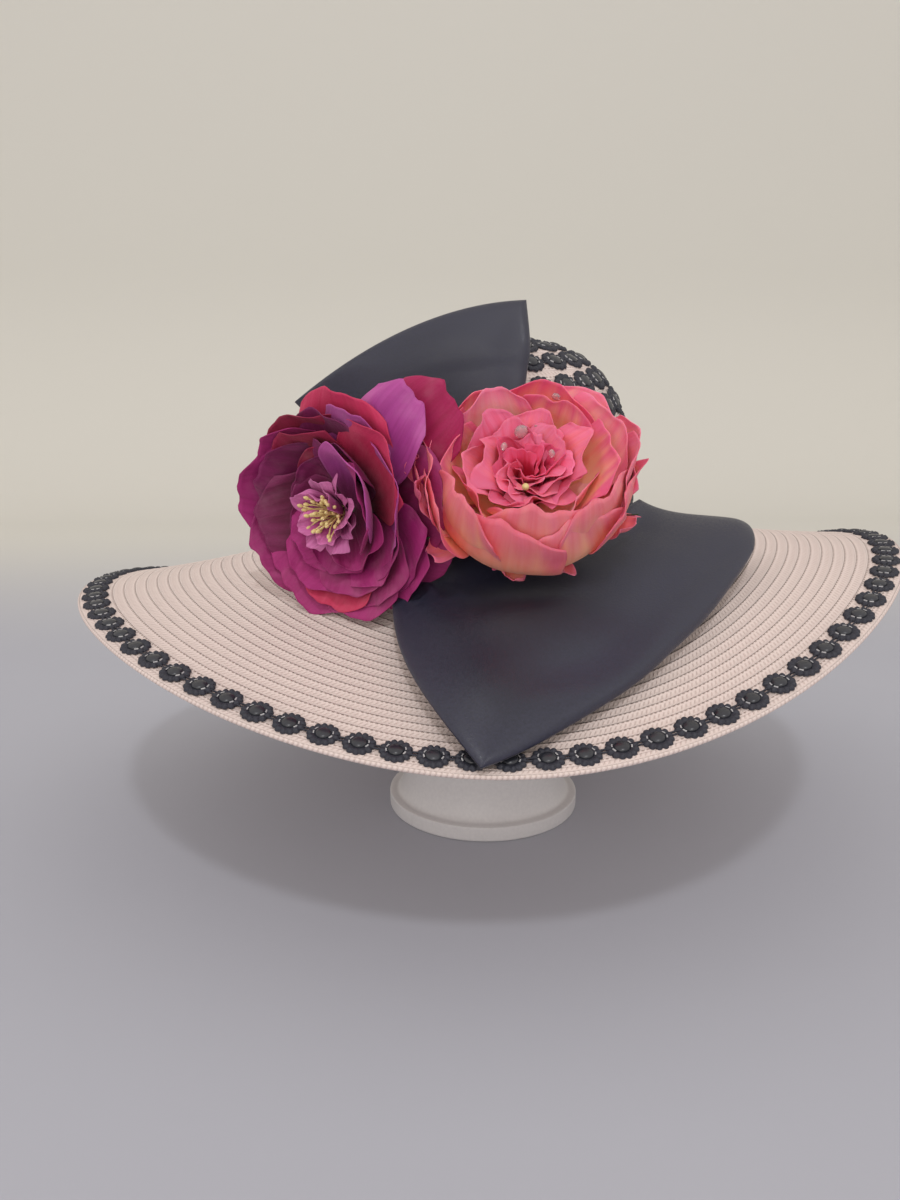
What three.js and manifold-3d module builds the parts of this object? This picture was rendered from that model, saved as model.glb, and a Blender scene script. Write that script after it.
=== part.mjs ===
// A picture hat on a plain round display stand: a wide straw brim that sweeps up at the sides, an oval
// crown wound with daisy trim, a stiff satin bow and two large silk flowers at the front.
// Millimetres, +Z up. The wearer looks towards -Y, and the origin is the centre of the stand's underside.
import * as THREE from "three";
import { mergeVertices } from "three/addons/utils/BufferGeometryUtils.js";
import Module from "manifold-3d";

const wasm = await Module();
wasm.setup();

// Gap left between pieces that rest on each other
const CLEARANCE = 0.3;

// Crown: an oval dome. Heights are above the table.
const CROWN_HALF_WIDTH = 86;
const CROWN_HALF_DEPTH = 100;
const CROWN_TOP = 292;
const CROWN_SEAM_HEIGHT = 171;
const CROWN_SEAM_FRONT_LIFT = 4;
const CROWN_SEAM_RIGHT_LIFT = 4;
const CROWN_SEAM_SIDE_LIFT = 16;
const CROWN_SQUARENESS = 2.9;
const CROWN_WALL = 2;

// Brim: the edge is slightly oval and sweeps up at the sides, higher on the right
const BRIM_RADIUS = 228;
const BRIM_SIDE_STRETCH = 9.2;
const BRIM_EDGE_HEIGHT = 129;
const BRIM_FRONT_LIFT = 19.6;
const BRIM_RIGHT_LIFT = 8.3;
const BRIM_SIDE_SWEEP = 34.6;
const BRIM_TWIST = 5.1;
const BRIM_FRONT_DIP = 2;
const BRIM_SIDE_ROLL = 4.2;
const BRIM_SAG = 4;
const BRIM_WALL = 2;

// Daisy trim: one motif beside the other, near the brim's edge and in rows round the crown
const TRIM_INSET = 8;
const TRIM_WIDTH = 14.5;
const TRIM_NECK_WIDTH = 4;
const TRIM_THICKNESS = 2;
const TRIM_PITCH = 16.25;
const TRIM_START = -0.1119;
const CROWN_ROW_SPACING = 16.5;
const CROWN_TRIM_WIDTH = 12;
const SHOULDER_RADIUS = 40;

// Bow: two stiff satin wings and the pad that holds them
const WING_THICKNESS = 3;
const WING_LIFT = 20;
const KNOT_WIDTH = 34;
const KNOT_HEIGHT = 30;
const KNOT_DEPTH = 13;
const KNOT_ANGLE = -12;

// Flowers: silk petals on stacked hubs, seated on the crown's front
const PETAL_THICKNESS = 1.2;
const HUB_THICKNESS = 3.7;
const HUB_RIM = 1.5;
const STEM_RADIUS = 4;
const PAD_RADIUS = 8;
const PAD_THICKNESS = 2;
const CORAL_RADIUS = 57;
const MAGENTA_RADIUS = 58;
const STAMEN_THICKNESS = 1.6;

// Stand: foot, column and domed seat
const FOOT_RADIUS = 61;
const FOOT_RIM = 9.5;
const COLUMN_RADIUS = 50;
const COLUMN_START = 28;
const NECK_RADIUS = 34;
const NECK_HEIGHT = 190;
const SEAT_RADIUS = 42;
const SEAT_DROP = 7;

const TURN = 2 * Math.PI;
const radians = THREE.MathUtils.degToRad;
const mix = THREE.MathUtils.lerp;
const vector = (x, y, z) => new THREE.Vector3(x, y, z);

// Materials, one for each kind of finish
function finish(color, roughness) {
  return new THREE.MeshStandardMaterial({ color, roughness, metalness: 0 });
}

const straw = finish(0xdecdc3, 0.85);
const daisyTrim = finish(0x282832, 0.45);
const satin = finish(0x2b3038, 0.5);
const magentaSilk = finish(0x962864, 0.8);
const burgundySilk = finish(0x5a1932, 0.8);
const coralSilk = finish(0xeb7869, 0.8);
const pinkSilk = finish(0xdc3c5a, 0.8);
const stamenYellow = finish(0xcdb95a, 0.6);
const sepalGreen = finish(0x2f4a2c, 0.7);
const frostedWhite = finish(0xe9e9ea, 0.5);

// A closed solid from rings of points: neighbouring rings are joined, and the ends are closed by strips
// across the ring, whose points run out along one side and back along the other.
function sweep(rings, closed) {
  const size = rings[0].length;
  const faces = [];
  const quad = (a, b, c, d) => faces.push([a, b, c], [a, c, d]);
  const count = closed ? rings.length : rings.length - 1;
  for (let row = 0; row < count; row++) {
    const here = rings[row];
    const next = rings[(row + 1) % rings.length];
    for (let i = 0; i < size; i++) {
      const j = (i + 1) % size;
      quad(here[i], here[j], next[j], next[i]);
    }
  }
  if (!closed) {
    const first = rings[0];
    const last = rings[rings.length - 1];
    for (let i = 0; i < size / 2 - 1; i++) {
      quad(first[i], first[size - 1 - i], first[size - 2 - i], first[i + 1]);
      quad(last[i], last[i + 1], last[size - 2 - i], last[size - 1 - i]);
    }
  }
  return outward(faces);
}

// A geometry with merged vertices, no collapsed faces, and its faces turned outwards
function outward(faces) {
  const positions = new Float32Array(faces.flatMap((face) => face.flatMap((p) => p.toArray())));
  const soup = new THREE.BufferGeometry().setAttribute("position", new THREE.BufferAttribute(positions, 3));
  return cleaned(mergeVertices(soup, 1e-3));
}

function cleaned(geometry) {
  const index = geometry.index.array;
  const position = geometry.attributes.position;
  const corner = [vector(), vector(), vector()];
  const kept = [];
  let volume = 0;
  for (let i = 0; i < index.length; i += 3) {
    const [a, b, c] = index.slice(i, i + 3);
    if (a === b || b === c || a === c) continue;
    kept.push([a, b, c]);
    [a, b, c].forEach((v, k) => corner[k].fromBufferAttribute(position, v));
    volume += corner[0].dot(corner[1].clone().cross(corner[2]));
  }
  if (volume < 0) kept.forEach((face) => face.reverse());
  geometry.setIndex(kept.flat());
  return geometry;
}

function solidOf(geometry) {
  const plain = geometry.clone();
  plain.deleteAttribute("normal");
  plain.deleteAttribute("uv");
  const merged = cleaned(mergeVertices(plain, 1e-3));
  const vertProperties = merged.attributes.position.array;
  const triVerts = new Uint32Array(merged.index.array);
  return new wasm.Manifold(new wasm.Mesh({ numProp: 3, vertProperties, triVerts }));
}

function joined(geometries) {
  const whole = geometries.map(solidOf).reduce((sum, solid) => sum.add(solid));
  const mesh = whole.getMesh();
  return new THREE.BufferGeometry()
    .setAttribute("position", new THREE.BufferAttribute(mesh.vertProperties, 3))
    .setIndex(new THREE.BufferAttribute(mesh.triVerts, 1));
}

function piece(name, geometry, material) {
  const mesh = new THREE.Mesh(geometry, material);
  mesh.name = name;
  return mesh;
}

// Crown and brim surfaces. The angle is 0 at the front and grows towards +X.
function crownRadius(angle) {
  return 1 / Math.hypot(Math.sin(angle) / CROWN_HALF_WIDTH, Math.cos(angle) / CROWN_HALF_DEPTH);
}

function seamHeight(angle) {
  const tilt = CROWN_SEAM_FRONT_LIFT * Math.cos(angle) + CROWN_SEAM_RIGHT_LIFT * Math.sin(angle);
  return CROWN_SEAM_HEIGHT + tilt - CROWN_SEAM_SIDE_LIFT * Math.cos(2 * angle);
}

function edgeRadius(angle) {
  return BRIM_RADIUS - BRIM_SIDE_STRETCH * Math.cos(2 * angle);
}

function edgeHeight(angle) {
  const tilt = BRIM_FRONT_LIFT * Math.cos(angle) + BRIM_RIGHT_LIFT * Math.sin(angle);
  const sweepUp = BRIM_TWIST * Math.sin(2 * angle) - BRIM_SIDE_SWEEP * Math.cos(2 * angle);
  const dip = BRIM_FRONT_DIP * Math.cos(3 * angle) + BRIM_SIDE_ROLL * Math.sin(3 * angle);
  return BRIM_EDGE_HEIGHT + tilt + sweepUp - dip;
}

// A point at an angle, a distance from the axis and a height
function around(angle, radius, height) {
  return vector(radius * Math.sin(angle), -radius * Math.cos(angle), height);
}

// The brim's top at a share of the way from the crown to the edge
function brimPoint(angle, share, rise = 0) {
  const radius = mix(crownRadius(angle), edgeRadius(angle), share);
  const height = mix(seamHeight(angle), edgeHeight(angle), share) - 4 * BRIM_SAG * share * (1 - share);
  return around(angle, radius, height + rise);
}

// The crown's outside, from its seam (rise 0) to its top (rise 1), moved in by an inset
function crownPoint(angle, rise, inset = 0) {
  const climb = (rise * Math.PI) / 2;
  const reach = Math.max(0, Math.cos(climb)) ** (2 / CROWN_SQUARENESS);
  const lift = Math.max(0, Math.sin(climb)) ** (2 / CROWN_SQUARENESS);
  const seam = seamHeight(angle);
  return around(angle, (crownRadius(angle) - inset) * reach, mix(seam, CROWN_TOP - inset, lift));
}

// The crown's outward direction
function crownNormal(angle, rise) {
  const step = 0.01;
  const alongSeam = crownPoint(angle + step, rise).sub(crownPoint(angle - step, rise));
  const upward = crownPoint(angle, rise + step).sub(crownPoint(angle, rise - step));
  return alongSeam.cross(upward).normalize();
}

const MOTIFS = Math.round((TURN * (BRIM_RADIUS - TRIM_INSET)) / TRIM_PITCH);
const CROWN_STEPS = 26;
const CROWN_RISES = [0, 0.15, 0.35, 0.55, 0.7, 0.85, 1];

function crownShell() {
  const rings = [];
  for (let i = 0; i < CROWN_STEPS; i++) {
    const angle = (TURN * i) / CROWN_STEPS;
    const outside = CROWN_RISES.map((rise) => crownPoint(angle, rise));
    const inside = CROWN_RISES.map((rise) => crownPoint(angle, rise, CROWN_WALL)).reverse();
    rings.push([...outside, ...inside]);
  }
  return sweep(rings, true);
}

// The brim starts just outside the crown
function brimShell() {
  const shares = [0, 0.45, 0.87, 1];
  const rings = [];
  for (let i = 0; i < MOTIFS; i++) {
    const angle = TRIM_START + (TURN * i) / MOTIFS;
    const inner = CLEARANCE / (edgeRadius(angle) - crownRadius(angle));
    const at = (share) => Math.max(share, inner);
    const top = shares.map((share) => brimPoint(angle, at(share)));
    const under = shares.map((share) => brimPoint(angle, at(share), -BRIM_WALL)).reverse();
    rings.push([...top, ...under]);
  }
  return sweep(rings, true);
}

// One motif of the trim is four stations: neck, shoulder, middle and shoulder
function trimWidth(station, fullWidth) {
  const shoulder = mix(TRIM_NECK_WIDTH, fullWidth, 0.8);
  return [TRIM_NECK_WIDTH, shoulder, fullWidth, shoulder][station % 4];
}

function brimTrimRing() {
  const rings = [];
  for (let i = 0; i < 4 * MOTIFS; i++) {
    const angle = TRIM_START + (TURN * (i - 2)) / (4 * MOTIFS);
    const span = edgeRadius(angle) - crownRadius(angle);
    const middle = 1 - TRIM_INSET / span;
    const half = trimWidth(i, TRIM_WIDTH) / 2 / span;
    const low = CLEARANCE;
    const high = CLEARANCE + TRIM_THICKNESS;
    rings.push([
      brimPoint(angle, middle - half, low),
      brimPoint(angle, middle, high),
      brimPoint(angle, middle + half, low),
    ]);
  }
  return sweep(rings, true);
}

// The crown's trim climbs one row spacing in each turn, measured along the crown's wall
function crownClimb() {
  const steps = 60;
  const lengths = [0];
  for (let i = 1; i <= steps; i++) {
    const stretch = crownPoint(0.9, i / steps).distanceTo(crownPoint(0.9, (i - 1) / steps));
    lengths.push(lengths[i - 1] + stretch);
  }
  const riseAt = (length) => {
    const next = Math.max(1, lengths.findIndex((value) => value >= length));
    const part = (length - lengths[next - 1]) / (lengths[next] - lengths[next - 1]);
    return (next - 1 + part) / steps;
  };
  return { whole: lengths[steps], riseAt };
}

// How far the flat band stands off the crown where it bridges the tightest curve
function crownTrimSeat() {
  return CLEARANCE + (CROWN_TRIM_WIDTH / 2) ** 2 / (2 * SHOULDER_RADIUS);
}

function crownTrimSpiral() {
  const { whole, riseAt } = crownClimb();
  const half = CROWN_TRIM_WIDTH / 2;
  const margin = half + TRIM_THICKNESS;
  const rows = Math.floor((whole - 2 * margin) / CROWN_ROW_SPACING);
  const rings = [];
  for (let i = 0; i <= rows * CROWN_STEPS; i++) {
    const angle = (TURN * i) / CROWN_STEPS;
    const length = margin + (CROWN_ROW_SPACING * i) / CROWN_STEPS;
    const seat = (offset, height) => {
      const rise = riseAt(length + offset);
      return crownPoint(angle, rise).addScaledVector(crownNormal(angle, rise), height);
    };
    const low = crownTrimSeat();
    const high = low + TRIM_THICKNESS;
    rings.push([seat(-half, low), seat(0, high), seat(half, low)]);
  }
  return sweep(rings, false);
}

// Lower wing: a column for each place along the wing, from its front tip (0) to its right corner (1).
// Angles are degrees from the front. Inner and outer are shares of the way from the crown to the
// brim's edge, and the rises are shares of the wing's lift over the brim.
const LOWER_WING = [
  { along: 0, innerAngle: -30, inner: 0.1, outerAngle: -5.2, outer: 1.0, innerRise: 1.1, middleRise: 0.6, outerRise: 0.25 },
  { along: 0.2, innerAngle: -15, inner: 0.06, outerAngle: 6, outer: 0.83, innerRise: 1.4, middleRise: 1.0, outerRise: 0.35 },
  { along: 0.4, innerAngle: 3, inner: 0.05, outerAngle: 17, outer: 0.73, innerRise: 1.5, middleRise: 1.1, outerRise: 0.45 },
  { along: 0.6, innerAngle: 22, inner: 0.05, outerAngle: 30, outer: 0.63, innerRise: 1.5, middleRise: 1.2, outerRise: 0.5 },
  { along: 0.8, innerAngle: 40, inner: 0.06, outerAngle: 43, outer: 0.56, innerRise: 1.5, middleRise: 1.2, outerRise: 0.55 },
  { along: 0.95, innerAngle: 52, inner: 0.1, outerAngle: 54, outer: 0.56, innerRise: 1.5, middleRise: 1.2, outerRise: 0.6 },
  { along: 1, innerAngle: 58, inner: 0.14, outerAngle: 62, outer: 0.46, innerRise: 1.5, middleRise: 1.15, outerRise: 0.8 },
];

// Upper wing: rows from the knot (0) to the top edge (1). Shares of the crown's half width, of its
// half depth, and of the height from the knot's top to the crown's top.
const UPPER_WING = [
  { along: 0, leftX: -0.44, leftY: -1.08, leftZ: 0, rightX: -0.02, rightY: -1.06, rightZ: 0 },
  { along: 0.3, leftX: -0.74, leftY: -0.99, leftZ: 0.26, rightX: 0.08, rightY: -1.02, rightZ: 0.42 },
  { along: 0.6, leftX: -1.02, leftY: -0.88, leftZ: 0.41, rightX: 0.14, rightY: -0.93, rightZ: 0.73 },
  { along: 0.85, leftX: -1.17, leftY: -0.82, leftZ: 0.49, rightX: 0.17, rightY: -0.83, rightZ: 0.95 },
  { along: 1, leftX: -1.22, leftY: -0.8, leftZ: 0.54, rightX: 0.17, rightY: -0.66, rightZ: 1.22 },
];

const WING_BULGE = 0.15;
const WING_BELLY = 0.15;
const KNOT_ALONG = 0.24;

// A smooth reading of a table at a share along it
function readTable(table, column, share) {
  const last = table.length - 1;
  const next = Math.min(last, Math.max(1, table.findIndex((row) => row.along >= share)));
  const before = table[next - 1];
  const after = table[next];
  const part = (share - before.along) / (after.along - before.along);
  return mix(before[column], after[column], part);
}

function lowerWingPoint(along, across) {
  const read = (column) => readTable(LOWER_WING, column, along);
  const angle = radians(mix(read("innerAngle"), read("outerAngle"), across));
  const share = mix(read("inner"), read("outer"), across);
  const bow = 4 * across * (1 - across);
  const straight = mix(read("innerRise"), read("outerRise"), across);
  const level = mix(straight, read("middleRise"), bow);
  return brimPoint(angle, share, WING_LIFT * level);
}

function upperWingPoint(along, across) {
  const read = (column) => readTable(UPPER_WING, column, along);
  const bulge = WING_BULGE * 4 * across * (1 - across) * along;
  const root = knotPlace().z + KNOT_HEIGHT / 2 + CLEARANCE;
  const height = CROWN_TOP - root;
  return vector(
    CROWN_HALF_WIDTH * mix(read("leftX"), read("rightX"), across),
    CROWN_HALF_DEPTH * (mix(read("leftY"), read("rightY"), across) - WING_BELLY * bulge),
    root + height * (mix(read("leftZ"), read("rightZ"), across) + bulge),
  );
}

function wingNormal(pointAt, along, across) {
  const step = 0.02;
  const forward = pointAt(Math.min(1, along + step), across).sub(pointAt(Math.max(0, along - step), across));
  const sideways = pointAt(along, Math.min(1, across + step)).sub(pointAt(along, Math.max(0, across - step)));
  return forward.cross(sideways).normalize();
}

// A sheet of the wing's thickness on a surface
function wingSheet(pointAt, alongSteps, acrossSteps) {
  const rings = [];
  for (let i = 0; i <= alongSteps; i++) {
    const along = i / alongSteps;
    const face = [];
    const back = [];
    for (let j = 0; j <= acrossSteps; j++) {
      const across = j / acrossSteps;
      const normal = wingNormal(pointAt, along, across);
      const middle = pointAt(along, across);
      face.push(middle.clone().addScaledVector(normal, WING_THICKNESS / 2));
      back.unshift(middle.clone().addScaledVector(normal, -WING_THICKNESS / 2));
    }
    rings.push([...face, ...back]);
  }
  return sweep(rings, false);
}

// Flower whorls, from the outside in. Length, width and root are shares of the flower's radius, lift
// counts hubs, the openings are degrees from the flower's axis at the petal's root and tip, and lean
// opens the petals on the side of leanTowards (degrees round the axis) and closes the others.
const CORAL_WHORLS = [
  { name: "outer_petals", petals: 8, length: 0.97, width: 0.84, root: 0.16, lift: 0, rootOpen: 78, tipOpen: 27, lean: 13, leanTowards: -55, start: 5 },
  { name: "middle_petals", petals: 7, length: 0.9, width: 0.72, root: 0.13, lift: 1, rootOpen: 64, tipOpen: 12, lean: 9, leanTowards: -90, start: 35 },
  { name: "inner_petals", petals: 6, length: 0.72, width: 0.52, root: 0.1, lift: 2, rootOpen: 50, tipOpen: 0, lean: 6, leanTowards: -90, start: 5 },
  { name: "centre", petals: 5, length: 0.5, width: 0.34, root: 0.06, lift: 3, rootOpen: 36, tipOpen: -6, lean: 0, leanTowards: 0, start: 20 },
];
const MAGENTA_WHORLS = [
  { name: "outer_petals", petals: 8, length: 0.95, width: 0.84, root: 0.16, lift: 0, rootOpen: 84, tipOpen: 50, lean: 8, leanTowards: 60, start: 9 },
  { name: "middle_petals", petals: 7, length: 0.84, width: 0.72, root: 0.13, lift: 1, rootOpen: 68, tipOpen: 20, lean: 5, leanTowards: 180, start: 30 },
  { name: "inner_petals", petals: 6, length: 0.62, width: 0.46, root: 0.1, lift: 2, rootOpen: 56, tipOpen: 14, lean: 3, leanTowards: 180, start: 12 },
];
const CORAL_SEPALS = { petals: 3, length: 0.6, width: 0.26, root: 0.08, lift: -1, rootOpen: 98, tipOpen: 64, lean: 8, leanTowards: -60, start: -20 };
const MAGENTA_SEPALS = { petals: 4, length: 0.38, width: 0.26, root: 0.08, lift: -1, rootOpen: 104, tipOpen: 92, lean: 6, leanTowards: 15, start: 20 };

// Petal shape: where it is widest, its root's width and how blunt its tip is
const WIDEST = 0.62;
const ROOT_WIDTH = 0.15;
const TIP_ROUND = 0.75;
const PETAL_FAN = 3;
const PETAL_ROWS = [0, 0.3, 0.65, 1];
const SEPAL_ROWS = [0, 0.5, 1];
const PETAL_COLUMNS = [-1, 0, 1];

function petalWidth(along) {
  if (along < WIDEST) return mix(ROOT_WIDTH, 1, Math.sin(((along / WIDEST) * Math.PI) / 2));
  return Math.sqrt(1 - TIP_ROUND * ((along - WIDEST) / (1 - WIDEST)) ** 2);
}

// A petal's point in the flower's own frame, whose z axis is the flower's axis. Each petal lies over the
// edge of the next, so that one long edge is fanned out and the other in.
function petalPoint(radius, whorl, index, across, along, height) {
  const turn = radians(whorl.start) + (TURN * index) / whorl.petals;
  const lean = whorl.lean * (Math.cos(turn - radians(whorl.leanTowards)) + 0.3 * Math.sin(3 * index));
  const rootOpen = radians(whorl.rootOpen + 0.5 * lean);
  const bend = radians(whorl.tipOpen + lean) - rootOpen;
  const length = radius * whorl.length * (1 + 0.05 * Math.sin(2.4 * index));
  const open = rootOpen + bend * along;
  const radial = radius * whorl.root + (length * (Math.cos(rootOpen) - Math.cos(open))) / bend;
  const axial = whorl.lift * (HUB_THICKNESS + CLEARANCE) + (length * (Math.sin(open) - Math.sin(rootOpen))) / bend;
  const half = (radius * whorl.width * petalWidth(along)) / 2;
  const curl = Math.max(radial, 0.75 * half);
  const swing = (across * half) / curl;
  const fan = PETAL_FAN * across * Math.sqrt(along);
  const outwards = radial - curl + (curl + fan - height * Math.cos(open)) * Math.cos(swing);
  const sideways = (curl + fan - height * Math.cos(open)) * Math.sin(swing);
  return vector(
    outwards * Math.cos(turn) - sideways * Math.sin(turn),
    outwards * Math.sin(turn) + sideways * Math.cos(turn),
    axial + height * Math.sin(open),
  );
}

function petal(radius, whorl, index, rows = PETAL_ROWS) {
  const rings = rows.map((along) => {
    const back = PETAL_COLUMNS.map((across) => petalPoint(radius, whorl, index, across, along, 0));
    const face = PETAL_COLUMNS.map((across) => petalPoint(radius, whorl, index, across, along, PETAL_THICKNESS));
    return [...back, ...face.reverse()];
  });
  return sweep(rings, false);
}

function hub(radius, whorl) {
  const disc = new THREE.CylinderGeometry(
    radius * whorl.root + HUB_RIM,
    radius * whorl.root + HUB_RIM,
    HUB_THICKNESS,
    10,
  );
  return disc.rotateX(Math.PI / 2).translate(0, 0, whorl.lift * (HUB_THICKNESS + CLEARANCE));
}

function whorlSolid(radius, whorl) {
  const petals = Array.from({ length: whorl.petals }, (_, index) => petal(radius, whorl, index));
  return joined([hub(radius, whorl), ...petals]);
}

// A straight round stalk between two points
function stalk(from, to, radius, sides) {
  const along = to.clone().sub(from);
  const rod = new THREE.CylinderGeometry(radius, radius, along.length(), sides);
  const turned = new THREE.Quaternion().setFromUnitVectors(vector(0, 1, 0), along.normalize());
  return rod.applyQuaternion(turned).translate(...from.clone().add(to).multiplyScalar(0.5).toArray());
}

// Stamens: a low dome with a ring of leaning stalks, on the magenta flower's own hubs
function stamens(radius) {
  const base = 3 * (HUB_THICKNESS + CLEARANCE);
  const domeRadius = 0.08 * radius;
  const dome = new THREE.CylinderGeometry(0.6 * domeRadius, domeRadius, HUB_THICKNESS, 10);
  const parts = [dome.rotateX(Math.PI / 2).translate(0, 0, base)];
  const count = 7;
  for (let i = 0; i < count; i++) {
    const turn = (TURN * i) / count;
    const reach = radius * (0.13 + 0.03 * Math.sin(2.1 * i));
    const top = base + radius * (0.26 + 0.04 * Math.cos(3.3 * i));
    const foot = vector(0.5 * domeRadius * Math.cos(turn), 0.5 * domeRadius * Math.sin(turn), base);
    const tip = vector(reach * Math.cos(turn), reach * Math.sin(turn), top);
    parts.push(stalk(foot, tip, STAMEN_THICKNESS / 2, 5));
  }
  return joined(parts);
}

// The calyx: a pad sewn on the crown's trim, a stem to the flower's back, and leaf shaped sepals. The
// pad's centre and outward direction are in the flower's own frame.
function calyx(radius, whorl, padCentre, padNormal) {
  const sepals = Array.from({ length: whorl.petals }, (_, index) => petal(radius, whorl, index, SEPAL_ROWS));
  const half = padNormal.clone().multiplyScalar(PAD_THICKNESS / 2);
  const pad = stalk(padCentre.clone().sub(half), padCentre.clone().add(half), PAD_RADIUS, 10);
  const stem = stalk(padCentre, vector(0, 0, -HUB_THICKNESS - CLEARANCE), STEM_RADIUS, 8);
  return joined([hub(radius, whorl), stem, pad, ...sepals]);
}

// A flower is seated on the crown: the seat is an angle from the front and a height share of the
// crown, and it faces left and up by two angles in degrees.
const CORAL_SEAT = { angle: 8, rise: 0.13, left: 3, up: 36, stem: 14 };
const MAGENTA_SEAT = { angle: -32.5, rise: 0.17, left: 37, up: -6, stem: 29 };

function flower(name, radius, whorls, sepals, seat, silks) {
  const group = new THREE.Group();
  const left = radians(seat.left);
  const up = radians(seat.up);
  const axis = vector(-Math.sin(left) * Math.cos(up), -Math.cos(left) * Math.cos(up), Math.sin(up));
  const right = vector(0, 0, 1).cross(axis).normalize();
  const frame = new THREE.Matrix4().makeBasis(right, axis.clone().cross(right), axis);
  group.quaternion.setFromRotationMatrix(frame);
  const wallAngle = radians(seat.angle);
  const wallNormal = crownNormal(wallAngle, seat.rise);
  const padHeight = crownTrimSeat() + TRIM_THICKNESS + CLEARANCE + PAD_THICKNESS / 2;
  const pad = crownPoint(wallAngle, seat.rise).addScaledVector(wallNormal, padHeight);
  group.position.copy(pad).addScaledVector(axis, seat.stem);
  const toFlower = group.quaternion.clone().invert();
  const padNormal = wallNormal.applyQuaternion(toFlower);
  whorls.forEach((whorl, i) => group.add(piece(name + "_" + whorl.name, whorlSolid(radius, whorl), silks[i])));
  group.add(piece(name + "_calyx", calyx(radius, sepals, vector(0, 0, -seat.stem), padNormal), sepalGreen));
  return group;
}

// The pad that holds the bow: an oval block on the crown's front, on the lower wing's root
function knotPlace() {
  const angle = radians(KNOT_ANGLE);
  const root = lowerWingPoint(KNOT_ALONG, 0);
  const rootThickness = WING_THICKNESS * Math.abs(wingNormal(lowerWingPoint, KNOT_ALONG, 0).z);
  const reach = crownRadius(angle) + CLEARANCE + KNOT_DEPTH / 2;
  return around(angle, reach, root.z + rootThickness / 2 + KNOT_HEIGHT / 2);
}

function bowKnot() {
  const block = new THREE.SphereGeometry(1, 12, 8);
  block.rotateX(Math.PI / 2).scale(KNOT_WIDTH / 2, KNOT_DEPTH / 2, KNOT_HEIGHT / 2).rotateZ(radians(KNOT_ANGLE));
  return block.translate(...knotPlace().toArray());
}

// Stand: a turned profile from the centre of the underside up to the seat under the crown's top
function standSolid() {
  const seatTop = CROWN_TOP - CROWN_WALL - CLEARANCE;
  const outline = [
    [0, 0],
    [FOOT_RADIUS - 1, 0],
    [FOOT_RADIUS, 1],
    [FOOT_RADIUS, FOOT_RIM - 1.5],
    [FOOT_RADIUS - 1.5, FOOT_RIM],
    [mix(COLUMN_RADIUS, FOOT_RADIUS, 0.35), mix(FOOT_RIM, COLUMN_START, 0.25)],
    [COLUMN_RADIUS, COLUMN_START],
    [mix(NECK_RADIUS, COLUMN_RADIUS, 0.35), mix(COLUMN_START, NECK_HEIGHT, 0.5)],
    [NECK_RADIUS, NECK_HEIGHT],
    [mix(NECK_RADIUS, SEAT_RADIUS, 0.4), mix(NECK_HEIGHT, seatTop, 0.55)],
    [SEAT_RADIUS, seatTop - 2 * SEAT_DROP],
    [SEAT_RADIUS, seatTop - SEAT_DROP],
    [0.6 * SEAT_RADIUS, seatTop - 0.3 * SEAT_DROP],
    [0, seatTop],
  ];
  const profile = outline.map(([radius, height]) => new THREE.Vector2(radius, height));
  const turned = new THREE.LatheGeometry(profile, 24).rotateX(Math.PI / 2);
  turned.deleteAttribute("normal");
  turned.deleteAttribute("uv");
  return cleaned(mergeVertices(turned, 1e-3));
}

const hat = new THREE.Group();
hat.add(piece("crown", crownShell(), straw));
hat.add(piece("brim", brimShell(), straw));
hat.add(piece("brim_trim", brimTrimRing(), daisyTrim));
hat.add(piece("crown_trim", crownTrimSpiral(), daisyTrim));
hat.add(piece("bow_wing_lower", wingSheet(lowerWingPoint, 12, 5), satin));
hat.add(piece("bow_wing_upper", wingSheet(upperWingPoint, 7, 6), satin));
hat.add(piece("bow_knot", bowKnot(), satin));

const coralSilks = [coralSilk, coralSilk, pinkSilk, pinkSilk];
hat.add(flower("coral", CORAL_RADIUS, CORAL_WHORLS, CORAL_SEPALS, CORAL_SEAT, coralSilks));
const magentaSilks = [magentaSilk, magentaSilk, burgundySilk];
const magenta = flower("magenta", MAGENTA_RADIUS, MAGENTA_WHORLS, MAGENTA_SEPALS, MAGENTA_SEAT, magentaSilks);
magenta.add(piece("magenta_stamens", stamens(MAGENTA_RADIUS), stamenYellow));
hat.add(magenta);

const part = new THREE.Group();
part.add(hat);
part.add(piece("stand", standSolid(), frostedWhite));

export default part;
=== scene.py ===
"""Looks of the picture hat on its display stand: sewn straw braid, daisy trim, satin bow and silk flowers.

Lengths are millimetres until a mesh is made. The wearer looks towards -Y. An angle round the hat is 0 at the
front and grows towards +X.
"""

import math

import bpy
import numpy as np
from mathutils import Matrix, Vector


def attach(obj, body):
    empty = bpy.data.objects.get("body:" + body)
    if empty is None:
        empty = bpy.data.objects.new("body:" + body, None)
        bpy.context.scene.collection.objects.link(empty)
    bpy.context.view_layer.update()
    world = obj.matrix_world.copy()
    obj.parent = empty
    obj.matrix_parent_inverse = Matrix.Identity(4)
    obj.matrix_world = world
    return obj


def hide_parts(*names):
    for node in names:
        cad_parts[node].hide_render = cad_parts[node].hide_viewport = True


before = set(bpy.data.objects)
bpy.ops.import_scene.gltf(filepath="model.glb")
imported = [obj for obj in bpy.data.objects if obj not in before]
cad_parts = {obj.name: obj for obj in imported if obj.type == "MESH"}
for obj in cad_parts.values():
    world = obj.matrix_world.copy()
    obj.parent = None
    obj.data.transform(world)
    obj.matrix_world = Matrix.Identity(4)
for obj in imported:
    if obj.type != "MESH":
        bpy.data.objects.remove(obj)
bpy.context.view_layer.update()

MM = 0.001
TURN = 2 * math.pi

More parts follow.
